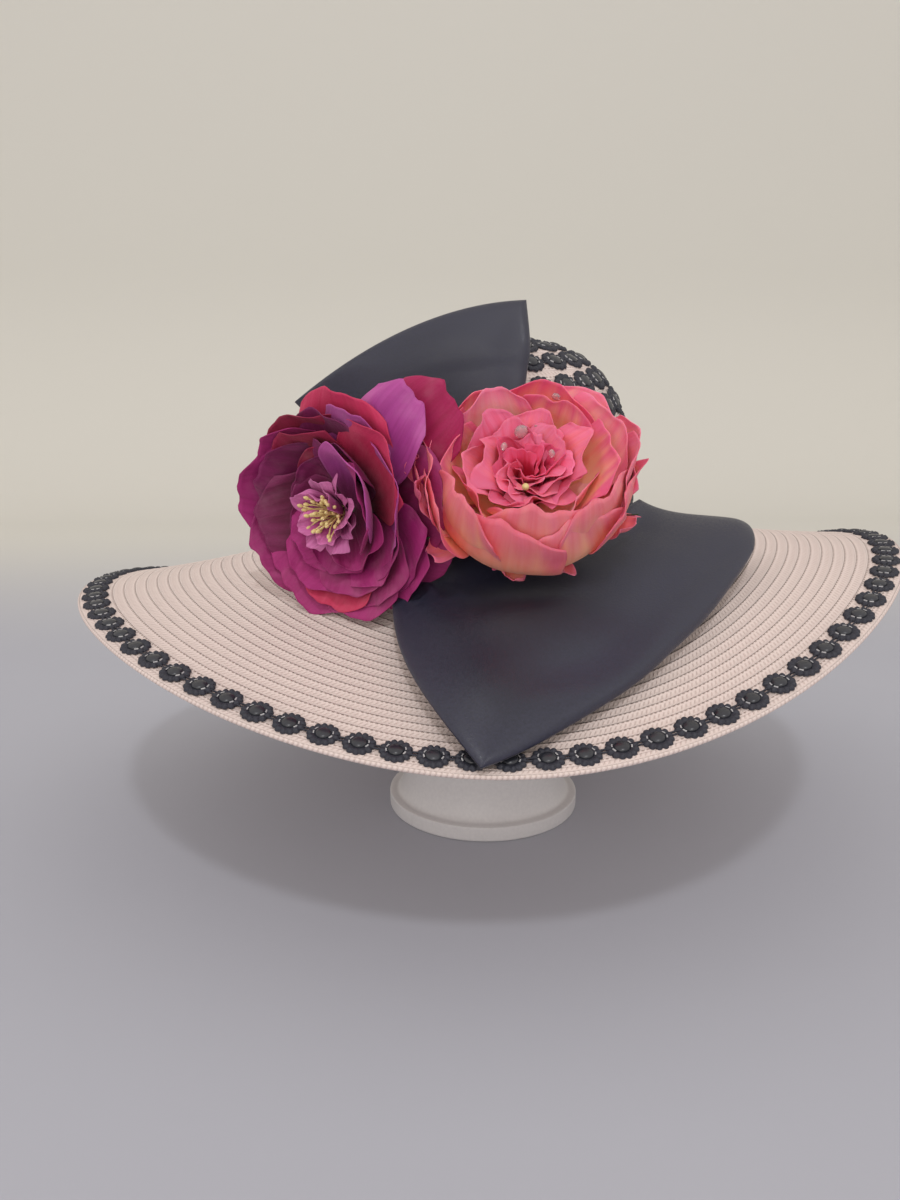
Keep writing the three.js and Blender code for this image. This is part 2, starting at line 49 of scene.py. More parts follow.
# The hat's surfaces, as in the part's source
CLEARANCE = 0.3
CROWN_HALF_WIDTH = 86
CROWN_HALF_DEPTH = 100
CROWN_TOP = 292
CROWN_SEAM_HEIGHT = 171
CROWN_SEAM_FRONT_LIFT = 4
CROWN_SEAM_RIGHT_LIFT = 4
CROWN_SEAM_SIDE_LIFT = 16
CROWN_SQUARENESS = 2.9
CROWN_WALL = 2
BRIM_RADIUS = 228
BRIM_SIDE_STRETCH = 9.2
BRIM_EDGE_HEIGHT = 129
BRIM_FRONT_LIFT = 19.6
BRIM_RIGHT_LIFT = 8.3
BRIM_SIDE_SWEEP = 34.6
BRIM_TWIST = 5.1
BRIM_FRONT_DIP = 2
BRIM_SIDE_ROLL = 4.2
BRIM_SAG = 4
BRIM_WALL = 2
TRIM_INSET = 8
TRIM_WIDTH = 14.5
TRIM_START = -0.1119
MOTIFS = 85
CROWN_ROW_SPACING = 16.5
WING_LIFT = 20
KNOT_WIDTH = 34
KNOT_HEIGHT = 30
KNOT_DEPTH = 13
KNOT_ANGLE = -12


def mix(a, b, share):
    return a + (b - a) * share


def smooth(low, high, value):
    share = np.clip((value - low) / (high - low), 0, 1)
    return share * share * (3 - 2 * share)


def crown_radius(angle):
    return 1 / np.hypot(np.sin(angle) / CROWN_HALF_WIDTH, np.cos(angle) / CROWN_HALF_DEPTH)


def seam_height(angle):
    lift = CROWN_SEAM_FRONT_LIFT * np.cos(angle) + CROWN_SEAM_RIGHT_LIFT * np.sin(angle)
    return CROWN_SEAM_HEIGHT + lift - CROWN_SEAM_SIDE_LIFT * np.cos(2 * angle)


def edge_radius(angle):
    return BRIM_RADIUS - BRIM_SIDE_STRETCH * np.cos(2 * angle)


def edge_height(angle):
    tilt = BRIM_FRONT_LIFT * np.cos(angle) + BRIM_RIGHT_LIFT * np.sin(angle)
    sweep_up = BRIM_TWIST * np.sin(2 * angle) - BRIM_SIDE_SWEEP * np.cos(2 * angle)
    waves = BRIM_FRONT_DIP * np.cos(3 * angle) + BRIM_SIDE_ROLL * np.sin(3 * angle)
    return BRIM_EDGE_HEIGHT + tilt + sweep_up - waves


def around(angle, radius, height):
    return np.stack(np.broadcast_arrays(radius * np.sin(angle), -radius * np.cos(angle), height), -1)


def brim_point(angle, share, rise=0.0):
    radius = mix(crown_radius(angle), edge_radius(angle), share)
    sag = 4 * BRIM_SAG * share * (1 - share)
    return around(angle, radius, mix(seam_height(angle), edge_height(angle), share) - sag + rise)


def crown_point(angle, rise, inset=0.0):
    climb = rise * math.pi / 2
    reach = np.maximum(0, np.cos(climb)) ** (2 / CROWN_SQUARENESS)
    lift = np.maximum(0, np.sin(climb)) ** (2 / CROWN_SQUARENESS)
    height = mix(seam_height(angle), CROWN_TOP - inset, lift)
    return around(angle, (crown_radius(angle) - inset) * reach, height)


def unit(vectors):
    return vectors / np.maximum(1e-9, np.linalg.norm(vectors, axis=-1, keepdims=True))


def crown_normal(angle, rise):
    step = 0.01
    along = crown_point(angle + step, rise) - crown_point(angle - step, rise)
    up = crown_point(angle, np.minimum(1, rise + step)) - crown_point(angle, np.maximum(0, rise - step))
    return unit(np.cross(along, up))


def brim_normal(angle, share):
    step = 0.01
    along = brim_point(angle + step, share) - brim_point(angle - step, share)
    outward = brim_point(angle, share + step) - brim_point(angle, share - step)
    return unit(np.cross(outward, along))


# Lengths up the crown's wall, to space its rows evenly
WALL_RISES = np.linspace(0, 1, 400)
WALL_LENGTHS = np.concatenate(
    [[0], np.cumsum(np.linalg.norm(np.diff(crown_point(0.9, WALL_RISES), axis=0), axis=1))]
)
WALL_WHOLE = WALL_LENGTHS[-1]


def rise_at(length):
    return np.interp(length, WALL_LENGTHS, WALL_RISES)


# Meshes
def new_object(name, points, faces, *materials, uv=None, tint=None):
    """A smooth mesh object, from points in millimetres, UV of each face's corners and tint of each point."""
    mesh = bpy.data.meshes.new(name)
    faces = faces.tolist() if isinstance(faces, np.ndarray) else faces
    mesh.from_pydata((np.asarray(points).reshape(-1, 3) * MM).tolist(), [], faces)
    mesh.polygons.foreach_set("use_smooth", np.ones(len(mesh.polygons), bool))
    for material in materials:
        mesh.materials.append(material)
    if uv is not None:
        mesh.uv_layers.new(name="UVMap").data.foreach_set("uv", np.asarray(uv, np.float32).ravel())
    if tint is not None:
        layer = mesh.attributes.new("tint", "FLOAT_COLOR", "POINT")
        tint = np.concatenate([tint, np.ones((len(tint), 1))], axis=1)
        layer.data.foreach_set("color", tint.astype(np.float32).ravel())
    mesh.update()
    made = bpy.data.objects.new(name, mesh)
    bpy.context.scene.collection.objects.link(made)
    return made


def joined_meshes(name, parts, material):
    """One object from the points and faces of several closed meshes."""
    points, faces, total = [], [], 0
    for part_points, part_faces in parts:
        points.append(part_points)
        faces += [[i + total for i in face] for face in part_faces]
        total += len(part_points)
    return new_object(name, np.concatenate(points), faces, material)


def placed(made, slot, *nodes):
    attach(made, "root")
    if nodes:
        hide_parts(*nodes)
    return made


def turned(outline, turns):
    """Rings of points round Z, one for each radius and height of an outline."""
    return [np.stack([r * np.cos(turns), r * np.sin(turns), z + 0 * turns], -1) for r, z in outline]


def even_turns(count):
    return np.arange(count) / count * TURN


def loop_faces(rows, columns, closed_rows):
    """Quads of a grid that wraps round its columns, and round its rows too where closed_rows is true."""
    row = np.arange(rows if closed_rows else rows - 1)[:, None]
    column = np.arange(columns)[None, :]
    after = (row + 1) % rows
    beside = (column + 1) % columns
    corners = ((row, column), (row, beside), (after, beside), (after, column))
    return np.stack([r * columns + c for r, c in corners], -1).reshape(-1, 4)


def strip_caps(rows, size):
    """Faces that close both ends of a swept loop, by strips across it."""
    i = np.arange(size // 2 - 1)
    first = np.stack([i, size - 1 - i, size - 2 - i, i + 1], -1)
    last = np.stack([i, i + 1, size - 2 - i, size - 1 - i], -1) + (rows - 1) * size
    return np.concatenate([first, last])


def tube_faces(rows, sides):
    """Quads of a tube's grid, with one more face at each end."""
    ends = [list(range(sides))[::-1], list(range((rows - 1) * sides, rows * sides))]
    return loop_faces(rows, sides, False).tolist() + ends


def both_sides(first, second):
    """Rings out along one side of a sheet and back along the other, from a grid of values for each side."""
    return np.concatenate([first, second[:, ::-1]], axis=1)


def sheet_faces(rows, columns):
    """Faces of a closed sheet whose rings come from both_sides."""
    return np.concatenate([loop_faces(rows, 2 * columns, False), strip_caps(rows, 2 * columns)])


# Materials
def srgb(red, green, blue):
    return tuple(((c / 255 + 0.055) / 1.055) ** 2.4 for c in (red, green, blue))


def paint(red, green, blue):
    return (*srgb(red, green, blue), 1.0)


class Finish:
    """A material with one main shader, and short calls to build its nodes."""

    def __init__(self, name, roughness, **sockets):
        self.material = bpy.data.materials.new(name)
        self.material.use_nodes = True
        self.tree = self.material.node_tree
        self.shader = next(n for n in self.tree.nodes if n.type == "BSDF_PRINCIPLED")
        self.shader.inputs["Roughness"].default_value = roughness
        for socket, value in sockets.items():
            self.shader.inputs[socket.replace("_", " ")].default_value = value
        self.place = self.node("ShaderNodeTexCoord").outputs["Object"]

    def node(self, kind, inputs=None, **settings):
        made = self.tree.nodes.new(kind)
        for key, value in settings.items():
            setattr(made, key, value)
        for key, value in (inputs or {}).items():
            self.join(value, made.inputs[key])
        return made

    def join(self, value, socket):
        if isinstance(value, bpy.types.NodeSocket):
            self.tree.links.new(value, socket)
        else:
            socket.default_value = value

    def maths(self, operation, *values):
        return self.node("ShaderNodeMath", dict(enumerate(values)), operation=operation).outputs[0]

    def times(self, first, second):
        return self.maths("MULTIPLY", first, second)

    def plus(self, first, second):
        return self.maths("ADD", first, second)

    def ramp(self, value, low, high, start=0.0, end=1.0):
        inputs = {"Value": value, "From Min": low, "From Max": high, "To Min": start, "To Max": end}
        return self.node("ShaderNodeMapRange", inputs, interpolation_type="SMOOTHSTEP").outputs["Result"]

    def window(self, value, low, high, soft):
        """1 between low and high and 0 outside them, with soft edges."""
        rising = self.ramp(value, low - soft, low + soft)
        falling = self.ramp(value, high - soft, high + soft, 1.0, 0.0)
        return self.times(rising, falling)

    def noise(self, scale, detail=2.0, vector=None):
        inputs = {"Vector": vector or self.place, "Scale": scale, "Detail": detail}
        return self.node("ShaderNodeTexNoise", inputs).outputs["Fac"]

    def blend(self, share, first, second, kind="MIX"):
        made = self.node("ShaderNodeMix", data_type="RGBA", blend_type=kind)
        self.join(share, made.inputs["Factor"])
        for socket, value in (("A", first), ("B", second)):
            self.join(value, [s for s in made.inputs if s.name == socket and s.type == "RGBA"][0])
        return [s for s in made.outputs if s.type == "RGBA"][0]

    def uv_parts(self):
        uv = self.node("ShaderNodeUVMap", uv_map="UVMap").outputs[0]
        split = self.node("ShaderNodeSeparateXYZ", {"Vector": uv})
        return split.outputs["X"], split.outputs["Y"]

    def tint(self):
        return self.node("ShaderNodeAttribute", attribute_name="tint").outputs["Color"]

    def colour(self, value):
        self.join(value, self.shader.inputs["Base Color"])

    def bump(self, height, distance):
        made = self.node("ShaderNodeBump", {"Height": height, "Distance": distance * MM, "Strength": 1.0})
        self.join(made.outputs[0], self.shader.inputs["Normal"])

    def rough(self, value, smoothest, roughest, low=0.3, high=0.7):
        """Roughness from smoothest to roughest where value goes from low to high."""
        self.join(self.ramp(value, low, high, smoothest, roughest), self.shader.inputs["Roughness"])


def straw_finish():
    """Sewn paper braid: U counts the stitches along a row and V the rows."""
    f = Finish("straw", 0.75)
    u, v = f.uv_parts()
    row, stitch = f.maths("FRACT", v), f.maths("FRACT", u)
    slant = f.maths("FRACT", f.plus(u, f.times(row, 1.3)))
    lip = f.window(row, 0.0, 0.14, 0.04)
    shadow = f.times(f.window(row, 0.15, 0.27, 0.04), f.window(stitch, 0.12, 0.6, 0.12))
    gap = f.times(f.window(row, 0.48, 0.86, 0.08), f.window(slant, 0.2, 0.5, 0.12))
    fine = f.noise(420.0, 3.0)
    base = f.blend(f.noise(14.0, 3.0), paint(212, 195, 190), paint(226, 209, 203))
    base = f.blend(f.times(fine, 0.35), base, paint(244, 228, 220))
    base = f.blend(f.times(lip, 0.35), base, paint(246, 232, 226))
    base = f.blend(f.times(gap, 0.34), base, paint(180, 154, 142))
    f.colour(f.blend(f.times(shadow, 0.66), base, paint(150, 124, 112)))
    height = f.maths("SUBTRACT", f.times(lip, f.ramp(stitch, 0.0, 0.5, 0.6, 1.0)), shadow)
    height = f.maths("SUBTRACT", height, f.times(gap, 0.7))
    f.bump(f.plus(height, f.times(fine, 0.5)), 0.35)
    f.rough(fine, 0.62, 0.85)
    return f.material


def cord_finish():
    f = Finish("daisy_cord", 0.55)
    fibre = f.noise(1500.0)
    base = f.blend(fibre, paint(24, 25, 33), paint(62, 63, 76))
    f.colour(f.blend(f.times(f.noise(60.0), 0.4), base, paint(34, 35, 46)))
    f.bump(fibre, 0.25)
    f.rough(fibre, 0.45, 0.75)
    return f.material


def speckled_finish(name, roughness, scale, dark, light, detail=2.0, bumps=None, rough=None, **sockets):
    """Two colours in fine specks, with the bumps' scale and height and the roughness range where given."""
    f = Finish(name, roughness, **sockets)
    speck = f.noise(scale, detail)
    f.colour(f.blend(speck, paint(*dark), paint(*light)))
    if bumps:
        f.bump(f.noise(bumps[0]), bumps[1])
    if rough:
        f.rough(speck, *rough)
    return f.material


def satin_finish():
    """Twill satin: U and V are millimetres on the cloth, and the tint is painted shade in its hollows and
    painted highlight on its raised parts.
    """
    f = Finish("satin", 0.38, Sheen_Weight=0.1, Sheen_Roughness=0.35, Specular_IOR_Level=0.55)
    u, v = f.uv_parts()
    twill = f.maths("FRACT", f.plus(f.times(u, 1.6), f.times(v, 1.6)))
    ridge = f.maths("PINGPONG", twill, 0.5)
    slub = f.noise(900.0)
    base = f.blend(slub, paint(14, 15, 27), paint(48, 49, 71))
    base = f.blend(f.times(f.noise(22.0, 3.0), 0.5), base, paint(28, 29, 46))
    base = f.blend(f.times(ridge, 0.5), base, paint(56, 58, 82))
    # The tint multiplies painted shade into the wings' hollows and painted highlight onto their raised parts
    f.colour(f.blend(1.0, base, f.tint(), "MULTIPLY"))
    f.bump(f.plus(ridge, f.times(slub, 0.6)), 0.12)
    f.rough(slub, 0.3, 0.46)
    return f.material


def silk_finish(name, roughness=0.6, sheen=0.06, glow=0.0):
    """Petal silk: the colour runs in the mesh's tint, and U and V lie across and along the petal."""
    f = Finish(
        name, roughness, Sheen_Weight=sheen, Sheen_Roughness=0.5, Subsurface_Weight=glow,
        Subsurface_Scale=0.004, Specular_IOR_Level=0.3,
    )
    u, v = f.uv_parts()
    tint = f.tint()
    spread = f.node("ShaderNodeCombineXYZ", {"X": f.times(u, 22.0), "Y": f.times(v, 2.2)})
    vein = f.noise(1.0, 3.0, spread.outputs[0])
    weave = f.noise(1400.0, 1.0)
    base = f.blend(f.ramp(vein, 0.35, 0.75, 0.0, 0.22), tint, tint, "MULTIPLY")
    light = f.blend(0.3, tint, (1.0, 0.8, 0.85, 1.0), "SCREEN")
    f.colour(f.blend(f.ramp(f.noise(60.0, 3.0), 0.5, 0.8, 0.0, 0.2), base, light))
    f.bump(f.plus(vein, f.times(weave, 0.12)), 0.25)
    f.rough(weave, roughness - 0.08, roughness + 0.1)
    return f.material


def floor_finish():
    """A pale grey floor that turns into a warm pale wall behind the hat."""
    f = Finish("pale_floor", 0.9)
    depth = f.node("ShaderNodeSeparateXYZ", {"Vector": f.place}).outputs["Y"]
    table = f.blend(f.noise(3.0, 3.0), paint(174, 175, 185), paint(180, 181, 190))
    f.colour(f.blend(f.ramp(depth, 0.3, 1.3), table, paint(217, 215, 208)))
    return f.material


STRAW = straw_finish()
CORD = cord_finish()
CABOCHON = speckled_finish(
    "cabochon", 0.3, 90, (30, 31, 38), (48, 50, 58), 1.0, rough=(0.26, 0.4, 0.2, 0.8), Coat_Weight=0.2,
    Coat_Roughness=0.2,
)
PRONG = speckled_finish("prong", 0.35, 300, (150, 150, 156), (205, 203, 203))
SATIN = satin_finish()
CORAL_SILK = silk_finish("coral_silk", glow=0.15)
PINK_SILK = silk_finish("pink_silk", glow=0.15)
MAGENTA_SILK = silk_finish("magenta_silk")
BURGUNDY_SILK = silk_finish("burgundy_silk")
SEPAL = silk_finish("sepal_green", 0.55, 0.02)
FINE = (900, 0.15)
STAMEN = speckled_finish("stamen_yellow", 0.6, 400, (206, 176, 112), (240, 222, 160), bumps=FINE)
STEM = speckled_finish("stem_green", 0.6, 400, (40, 62, 36), (62, 88, 52), bumps=FINE)
DROP = speckled_finish("dew", 0.08, 400, (236, 196, 204), (255, 226, 230), bumps=FINE, Transmission_Weight=0.7)
FROSTED = speckled_finish(
    "frosted_white", 0.45, 500, (203, 200, 201), (218, 215, 215), bumps=(500, 0.06), rough=(0.4, 0.52),
    Coat_Weight=0.15, Coat_Roughness=0.35,
)

# Straw: rows of braid, each a raised lip that falls away to the next row
ROW_WIDTH = 5.5
STITCH = 2.3
ROW_PARTS = (0.0, 0.1, 0.26, 0.6)
ROW_HEIGHTS = (0.0, 0.42, 0.3, 0.16)


def straw_rows(count, edge_rows=0):
    """Positions in rows and their relief, from row 0 to count, with some half width rows at the end."""
    starts = list(range(count - edge_rows // 2)) + [count - edge_rows / 2 + k / 2 for k in range(edge_rows)]
    widths = np.diff(starts + [count])
    at = [start + width * part for start, width in zip(starts, widths) for part in ROW_PARTS]
    relief = [h * min(1, 0.4 + 0.6 * width) for width in widths for h in ROW_HEIGHTS]
    return np.array(at + [count]), np.array(relief + [0.0])


def straw_uv(rows, stitches, columns):
    """U and V at each face's corners, for bands of rows with their own count of stitches in a turn."""
    share = np.arange(columns + 1) / columns
    left, right = stitches[:, None] * share[:-1], stitches[:, None] * share[1:]
    low, high = (np.broadcast_to(row[:, None], left.shape) for row in (rows[:-1], rows[1:]))
    corners = ((left, low), (right, low), (right, high), (left, high))
    return np.stack([np.stack(corner, -1) for corner in corners], 2)


def straw_piece(name, points, rows, radii, columns, poles=None):
    """A closed skin from rings of points, with the row number and mean radius of each ring. With poles, the
    last ring outside and the first one inside are each closed to a point instead of to each other."""
    faces = loop_faces(len(rows), columns, True)
    stitches = np.maximum(8, np.round(TURN * radii / STITCH))
    uv = straw_uv(np.append(rows, rows[-1]), stitches, columns).reshape(-1, 4, 2)
    points = points.reshape(-1, 3)
    faces, uv = faces.tolist(), uv.tolist()
    if poles:
        cut, outer, inner = poles
        band = slice((cut - 1) * columns, cut * columns)
        del faces[band], uv[band]
        size = len(points)
        points = np.concatenate([points, [(0, 0, outer), (0, 0, inner)]])
        for j in range(columns):
            k = (j + 1) % columns
            faces.append([(cut - 1) * columns + j, (cut - 1) * columns + k, size])
            faces.append([cut * columns + k, cut * columns + j, size + 1])
            uv += [[(0.0, rows[cut - 1])] * 3, [(0.0, rows[cut])] * 3]
    return new_object(name, points, faces, STRAW, uv=[corner for face in uv for corner in face])


def brim_piece():
    """The brim's skin: stepped rows above, a rounded rim, and flatter rows below."""
    columns = 480
    count = 25
    rim_radius = 1.3
    rim_drop = 0.9
    angle = even_turns(columns)
    wobble = 0.35 * (np.sin(3 * angle + 0.6) * np.sin(7 * angle))[:, None]

    def raised(share, height):
        return brim_point(angle, share) + height * brim_normal(angle, share)

    rows, relief = straw_rows(count, edge_rows=2)
    share = (rows / count)[:, None]
    top = raised(share, relief[:, None, None] + wobble * share[..., None])
    roll = np.radians([60, 20, -20, -60])[:, None, None]
    outward = unit(brim_point(angle, 1.0) - brim_point(angle, 0.98))
    swing = np.cos(roll) * outward + np.sin(roll) * brim_normal(angle, 1.0)
    rim = raised(1.0, wobble - rim_drop) + rim_radius * swing
    under_rows = rows[::-2]
    under_share = (under_rows / count)[:, None]
    under_relief = BRIM_WALL - 0.35 * np.abs(np.sin(np.pi * under_rows))
    under = raised(under_share, wobble * under_share[..., None] - under_relief[:, None, None])
    all_rows = np.concatenate([rows, count + np.array([0.5, 0.6, 0.7, 0.8]), under_rows + count + 1])
    whole = np.floor(np.concatenate([rows, np.full(4, count), under_rows]))
    seam = (CROWN_HALF_WIDTH + CROWN_HALF_DEPTH) / 2
    radii = mix(seam, BRIM_RADIUS, np.clip((whole + 0.5) / count, 0, 1))
    made = straw_piece("straw_brim", np.concatenate([top, rim, under]), all_rows, radii, columns)
    return placed(made, "straw", "brim")


def crown_piece():
    """The crown's skin: stepped rows outside, closed at the top, and a smooth inside."""
    columns = 360
    count = int(WALL_WHOLE / ROW_WIDTH)
    angle = even_turns(columns)
    rows, relief = (values[:-1] for values in straw_rows(count))
    rise = rise_at(rows / count * WALL_WHOLE)[:, None]
    outside = crown_point(angle, rise) + crown_normal(angle, rise) * relief[:, None, None]
    inner_rise = np.linspace(0.985, 0, 44)
    inside = crown_point(angle, inner_rise[:, None], CROWN_WALL)
    inner_rows = np.interp(inner_rise, WALL_RISES, WALL_LENGTHS) / WALL_WHOLE * count
    whole = np.floor(np.concatenate([rows, inner_rows]))
    middle = crown_point(0.9, rise_at((whole + 0.5) / count * WALL_WHOLE))
    radii = np.hypot(middle[:, 0], middle[:, 1])
    poles = (len(rows), CROWN_TOP + 0.4, CROWN_TOP - CROWN_WALL)
    all_rows = np.concatenate([rows, inner_rows + count])
    made = straw_piece("straw_crown", np.concatenate([outside, inside]), all_rows, radii, columns, poles)
    return placed(made, "straw", "crown")


# Daisy trim. The stone's outline: radius as a share of the motif's width, and height
STONE = [(0.24, 0.6), (0.24, 1.2), (0.215, 1.7), (0.155, 2.1), (0.08, 2.3)]
STONE_TOP = 2.35
PRONG_TURNS = [20, 160, 200, 340]
THREAD_RADIUS = 0.45
THREAD_SIDES = 5


def daisy(petals, steps, width, pitch):
    """One motif on its own plane: a scalloped disc, a domed stone, four prongs round it and the two threads
    that join it to its neighbours. Returns points, faces and the material index of each face."""
    size = petals * steps
    few = size // 3
    turns = even_turns(size)
    lobe = np.abs(np.cos(turns * petals / 2))
    rim = width / 2 * (0.86 + 0.14 * lobe ** 0.8)
    dome = 0.55 + 0.45 * lobe
    disc = [
        (rim, 0), (0.97 * rim, 0.8 * dome + 0.2), (0.84 * rim, 1.5 * dome + 0.3),
        (0.68 * rim, 1.2 * dome + 0.3), (0.28 * width, 1.0), (0.23 * width, 0.7),
    ]
    stone = [(share * width, height) for share, height in STONE]
    points = turned(disc, turns) + turned(stone, even_turns(few)) + [[[0, 0, STONE_TOP]]]
    faces = loop_faces(len(disc), size, False).tolist()
    kinds = [0] * len(faces)
    base = len(disc) * size
    pole = base + len(stone) * few
    last = pole - few
    stone_faces = (loop_faces(len(stone), few, False) + base).tolist()
    stone_faces += [[last + i, last + (i + 1) % few, pole] for i in range(few)]
    faces += stone_faces
    kinds += [1] * len(stone_faces)
    total = pole + 1
    low, high = 0.268 * width, 0.305 * width
    for turn in PRONG_TURNS:
        points += turned([(low, 1.5), (high, 1.55), (high, 1.0)], np.radians([turn - 13, turn, turn + 13]))
        faces += [[a, a + 1, a + 4, a + 3] for a in (total, total + 1, total + 3, total + 4)]
        kinds += [2] * 4
        total += 9
    reach = pitch / 2 + 0.4
    for side in (-0.9, 0.9):
        thread = THREAD_RADIUS * np.array([(0, math.cos(t), math.sin(t)) for t in even_turns(THREAD_SIDES)])
        points += [thread + (x, side, 0.7) for x in (-reach, reach)]
        for i in range(THREAD_SIDES):
            j = (i + 1) % THREAD_SIDES
            faces.append([total + i, total + THREAD_SIDES + i, total + THREAD_SIDES + j, total + j])
        kinds += [0] * THREAD_SIDES
        total += 2 * THREAD_SIDES
    return np.concatenate(points), faces, kinds


def daisies(name, template, origins, tangents, normals, along_bend, across_bend):
    """Copies of a motif on their own frames, each bent to the surface by its curvature both ways."""
    points, faces, kinds = template
    outwards = np.cross(normals, tangents)
    x, y, z = points.T
    drop = z - (x ** 2)[None] * along_bend[:, None] / 2 - (y ** 2)[None] * across_bend[:, None] / 2
    places = origins[:, None] + x[None, :, None] * tangents[:, None] + y[None, :, None] * outwards[:, None]
    places = places + drop[..., None] * normals[:, None]
    count, size = len(origins), len(points)
    every = [[i + k * size for i in face] for k in range(count) for face in faces]
    made = new_object(name, places, every, CORD, CABOCHON, PRONG)
    made.data.polygons.foreach_set("material_index", np.tile(kinds, count).astype(np.int32))
    made.data.update()
    return made


def brim_daisies():
    pitch = 16.6
    step = 0.01
    angle = TRIM_START + np.arange(MOTIFS) / MOTIFS * TURN
    share = 1 - TRIM_INSET / (edge_radius(angle) - crown_radius(angle))
    normals = brim_normal(angle, share)
    origins = brim_point(angle, share) + 0.5 * normals
    tangents = unit(brim_point(angle + step, share) - brim_point(angle - step, share))
    flat = np.zeros(MOTIFS)
    made = daisies("brim_daisies", daisy(13, 6, TRIM_WIDTH, pitch), origins, tangents, normals, flat, flat)
    return placed(made, "daisy_trim", "brim_trim")


def crown_daisies():
    width = 15.4
    pitch = 16.4
    margin = 8
    step = 0.02
    climb = CROWN_ROW_SPACING * step / TURN
    rows = math.floor((WALL_WHOLE - 2 * margin) / CROWN_ROW_SPACING)
    angle = np.linspace(0, rows * TURN, 6000)
    length = margin + CROWN_ROW_SPACING * angle / TURN
    path = crown_point(angle, rise_at(length))
    run = np.concatenate([[0], np.cumsum(np.linalg.norm(np.diff(path, axis=0), axis=1))])
    stops = np.arange(0, run[-1], pitch)
    at = np.interp(stops, run, angle)
    up = np.interp(stops, run, length)
    rise = rise_at(up)
    normals = crown_normal(at, rise)
    ahead = crown_point(at + step, rise_at(up + climb))
    behind = crown_point(at - step, rise_at(up - climb))
    tangents = unit(ahead - behind)
    tangents = unit(tangents - normals * np.sum(tangents * normals, axis=1, keepdims=True))
    above = crown_normal(at, rise_at(up + 4))
    below = crown_normal(at, rise_at(np.maximum(0, up - 4)))
    across_bend = np.linalg.norm(above - below, axis=1) / 8
    reach = np.hypot(*crown_point(at, rise)[:, :2].T)
    along_bend = np.minimum(0.03, np.linalg.norm(normals[:, :2], axis=1) / np.maximum(12, reach))
    origins = crown_point(at, rise) + 0.7 * normals
    motif = daisy(12, 4, width, pitch)
    made = daisies("crown_daisies", motif, origins, tangents, normals, along_bend, across_bend)
    return placed(made, "daisy_trim", "crown_trim")


# Bow: shares and rises as in the part's source
LOWER_WING = np.array([
    # along, inner angle, inner, outer angle, outer, inner rise, middle rise, outer rise
    (0, -30, 0.1, -5.4, 1.03, 1.1, 0.6, 0.25),
    (0.2, -15, 0.06, 6, 0.835, 1.4, 1.0, 0.35),
    (0.4, 3, 0.05, 16.8, 0.71, 1.5, 1.1, 0.42),
    (0.6, 20, 0.05, 28.5, 0.61, 1.5, 1.15, 0.48),
    (0.8, 37, 0.05, 43.5, 0.572, 1.4, 1.12, 0.5),
    (0.92, 47.5, 0.055, 56, 0.598, 1.3, 1.05, 0.45),
    (1, 54, 0.06, 64.5, 0.622, 1.2, 1.0, 0.42),
])
UPPER_WING = np.array([
    # along, left x, left y, left z, right x, right y, right z
    (0, -0.44, -1.08, 0, -0.02, -1.06, 0),
    (0.3, -0.74, -0.99, 0.26, 0.08, -1.02, 0.42),
    (0.6, -1.02, -0.88, 0.41, 0.14, -0.93, 0.73),
    (0.85, -1.17, -0.82, 0.49, 0.17, -0.83, 0.95),
    (1, -1.22, -0.8, 0.54, 0.17, -0.66, 1.22),
])
WING_BULGE = 0.15
WING_BELLY = 0.15
KNOT_ALONG = 0.24
# Length of the cloth under a wing's U and V
CLOTH_LENGTH = 180


def read_table(table, share):
    """Smooth curves through the columns of a table after its first, at shares along it."""
    x = table[:, 0]
    i = np.clip(np.searchsorted(x, share, side="right") - 1, 0, len(x) - 2)
    span = x[i + 1] - x[i]
    t = (share - x[i]) / span
    curves = []
    for y in table.T[1:]:
        slopes = np.gradient(y, x)
        ends = (1 + 2 * t) * (1 - t) ** 2 * y[i] + t * t * (3 - 2 * t) * y[i + 1]
        curves.append(ends + t * (1 - t) * span * ((1 - t) * slopes[i] - t * slopes[i + 1]))
    return curves


def lower_wing_point(along, across):
    inner_angle, inner, outer_angle, outer, inner_rise, middle_rise, outer_rise = read_table(LOWER_WING, along)
    angle = np.radians(mix(inner_angle, outer_angle, across))
    bow = 4 * across * (1 - across)
    level = mix(mix(inner_rise, outer_rise, across), middle_rise, bow)
    return brim_point(angle, mix(inner, outer, across), WING_LIFT * level)


def knot_middle():
    angle = math.radians(KNOT_ANGLE)
    root = lower_wing_point(np.array([KNOT_ALONG]), np.array([0.0]))[0]
    reach = crown_radius(angle) + CLEARANCE + KNOT_DEPTH / 2
    return around(angle, reach, root[2] + 1 + KNOT_HEIGHT / 2)


def upper_wing_point(along, across):
    left_x, left_y, left_z, right_x, right_y, right_z = read_table(UPPER_WING, along)
    bulge = WING_BULGE * 4 * across * (1 - across) * along
    root = knot_middle()[2] + KNOT_HEIGHT / 2 + CLEARANCE
    x = CROWN_HALF_WIDTH * mix(left_x, right_x, across)
    y = CROWN_HALF_DEPTH * (mix(left_y, right_y, across) - WING_BELLY * bulge)
    z = root + (CROWN_TOP - root) * (mix(left_z, right_z, across) + bulge)
    return np.stack([x, y, z], -1)


def hollow_depth(along, across, middle, long_way, short_way, depth):
    """An oval dent: its middle and its two half widths, each as shares along and across the wing."""
    ways = np.linalg.inv(np.array([long_way, short_way]).T)
    offset = np.stack([along - middle[0], across - middle[1]])
    reach = np.tensordot(ways, offset, 1)
    return depth * np.exp(-np.sum(reach ** 2, axis=0))


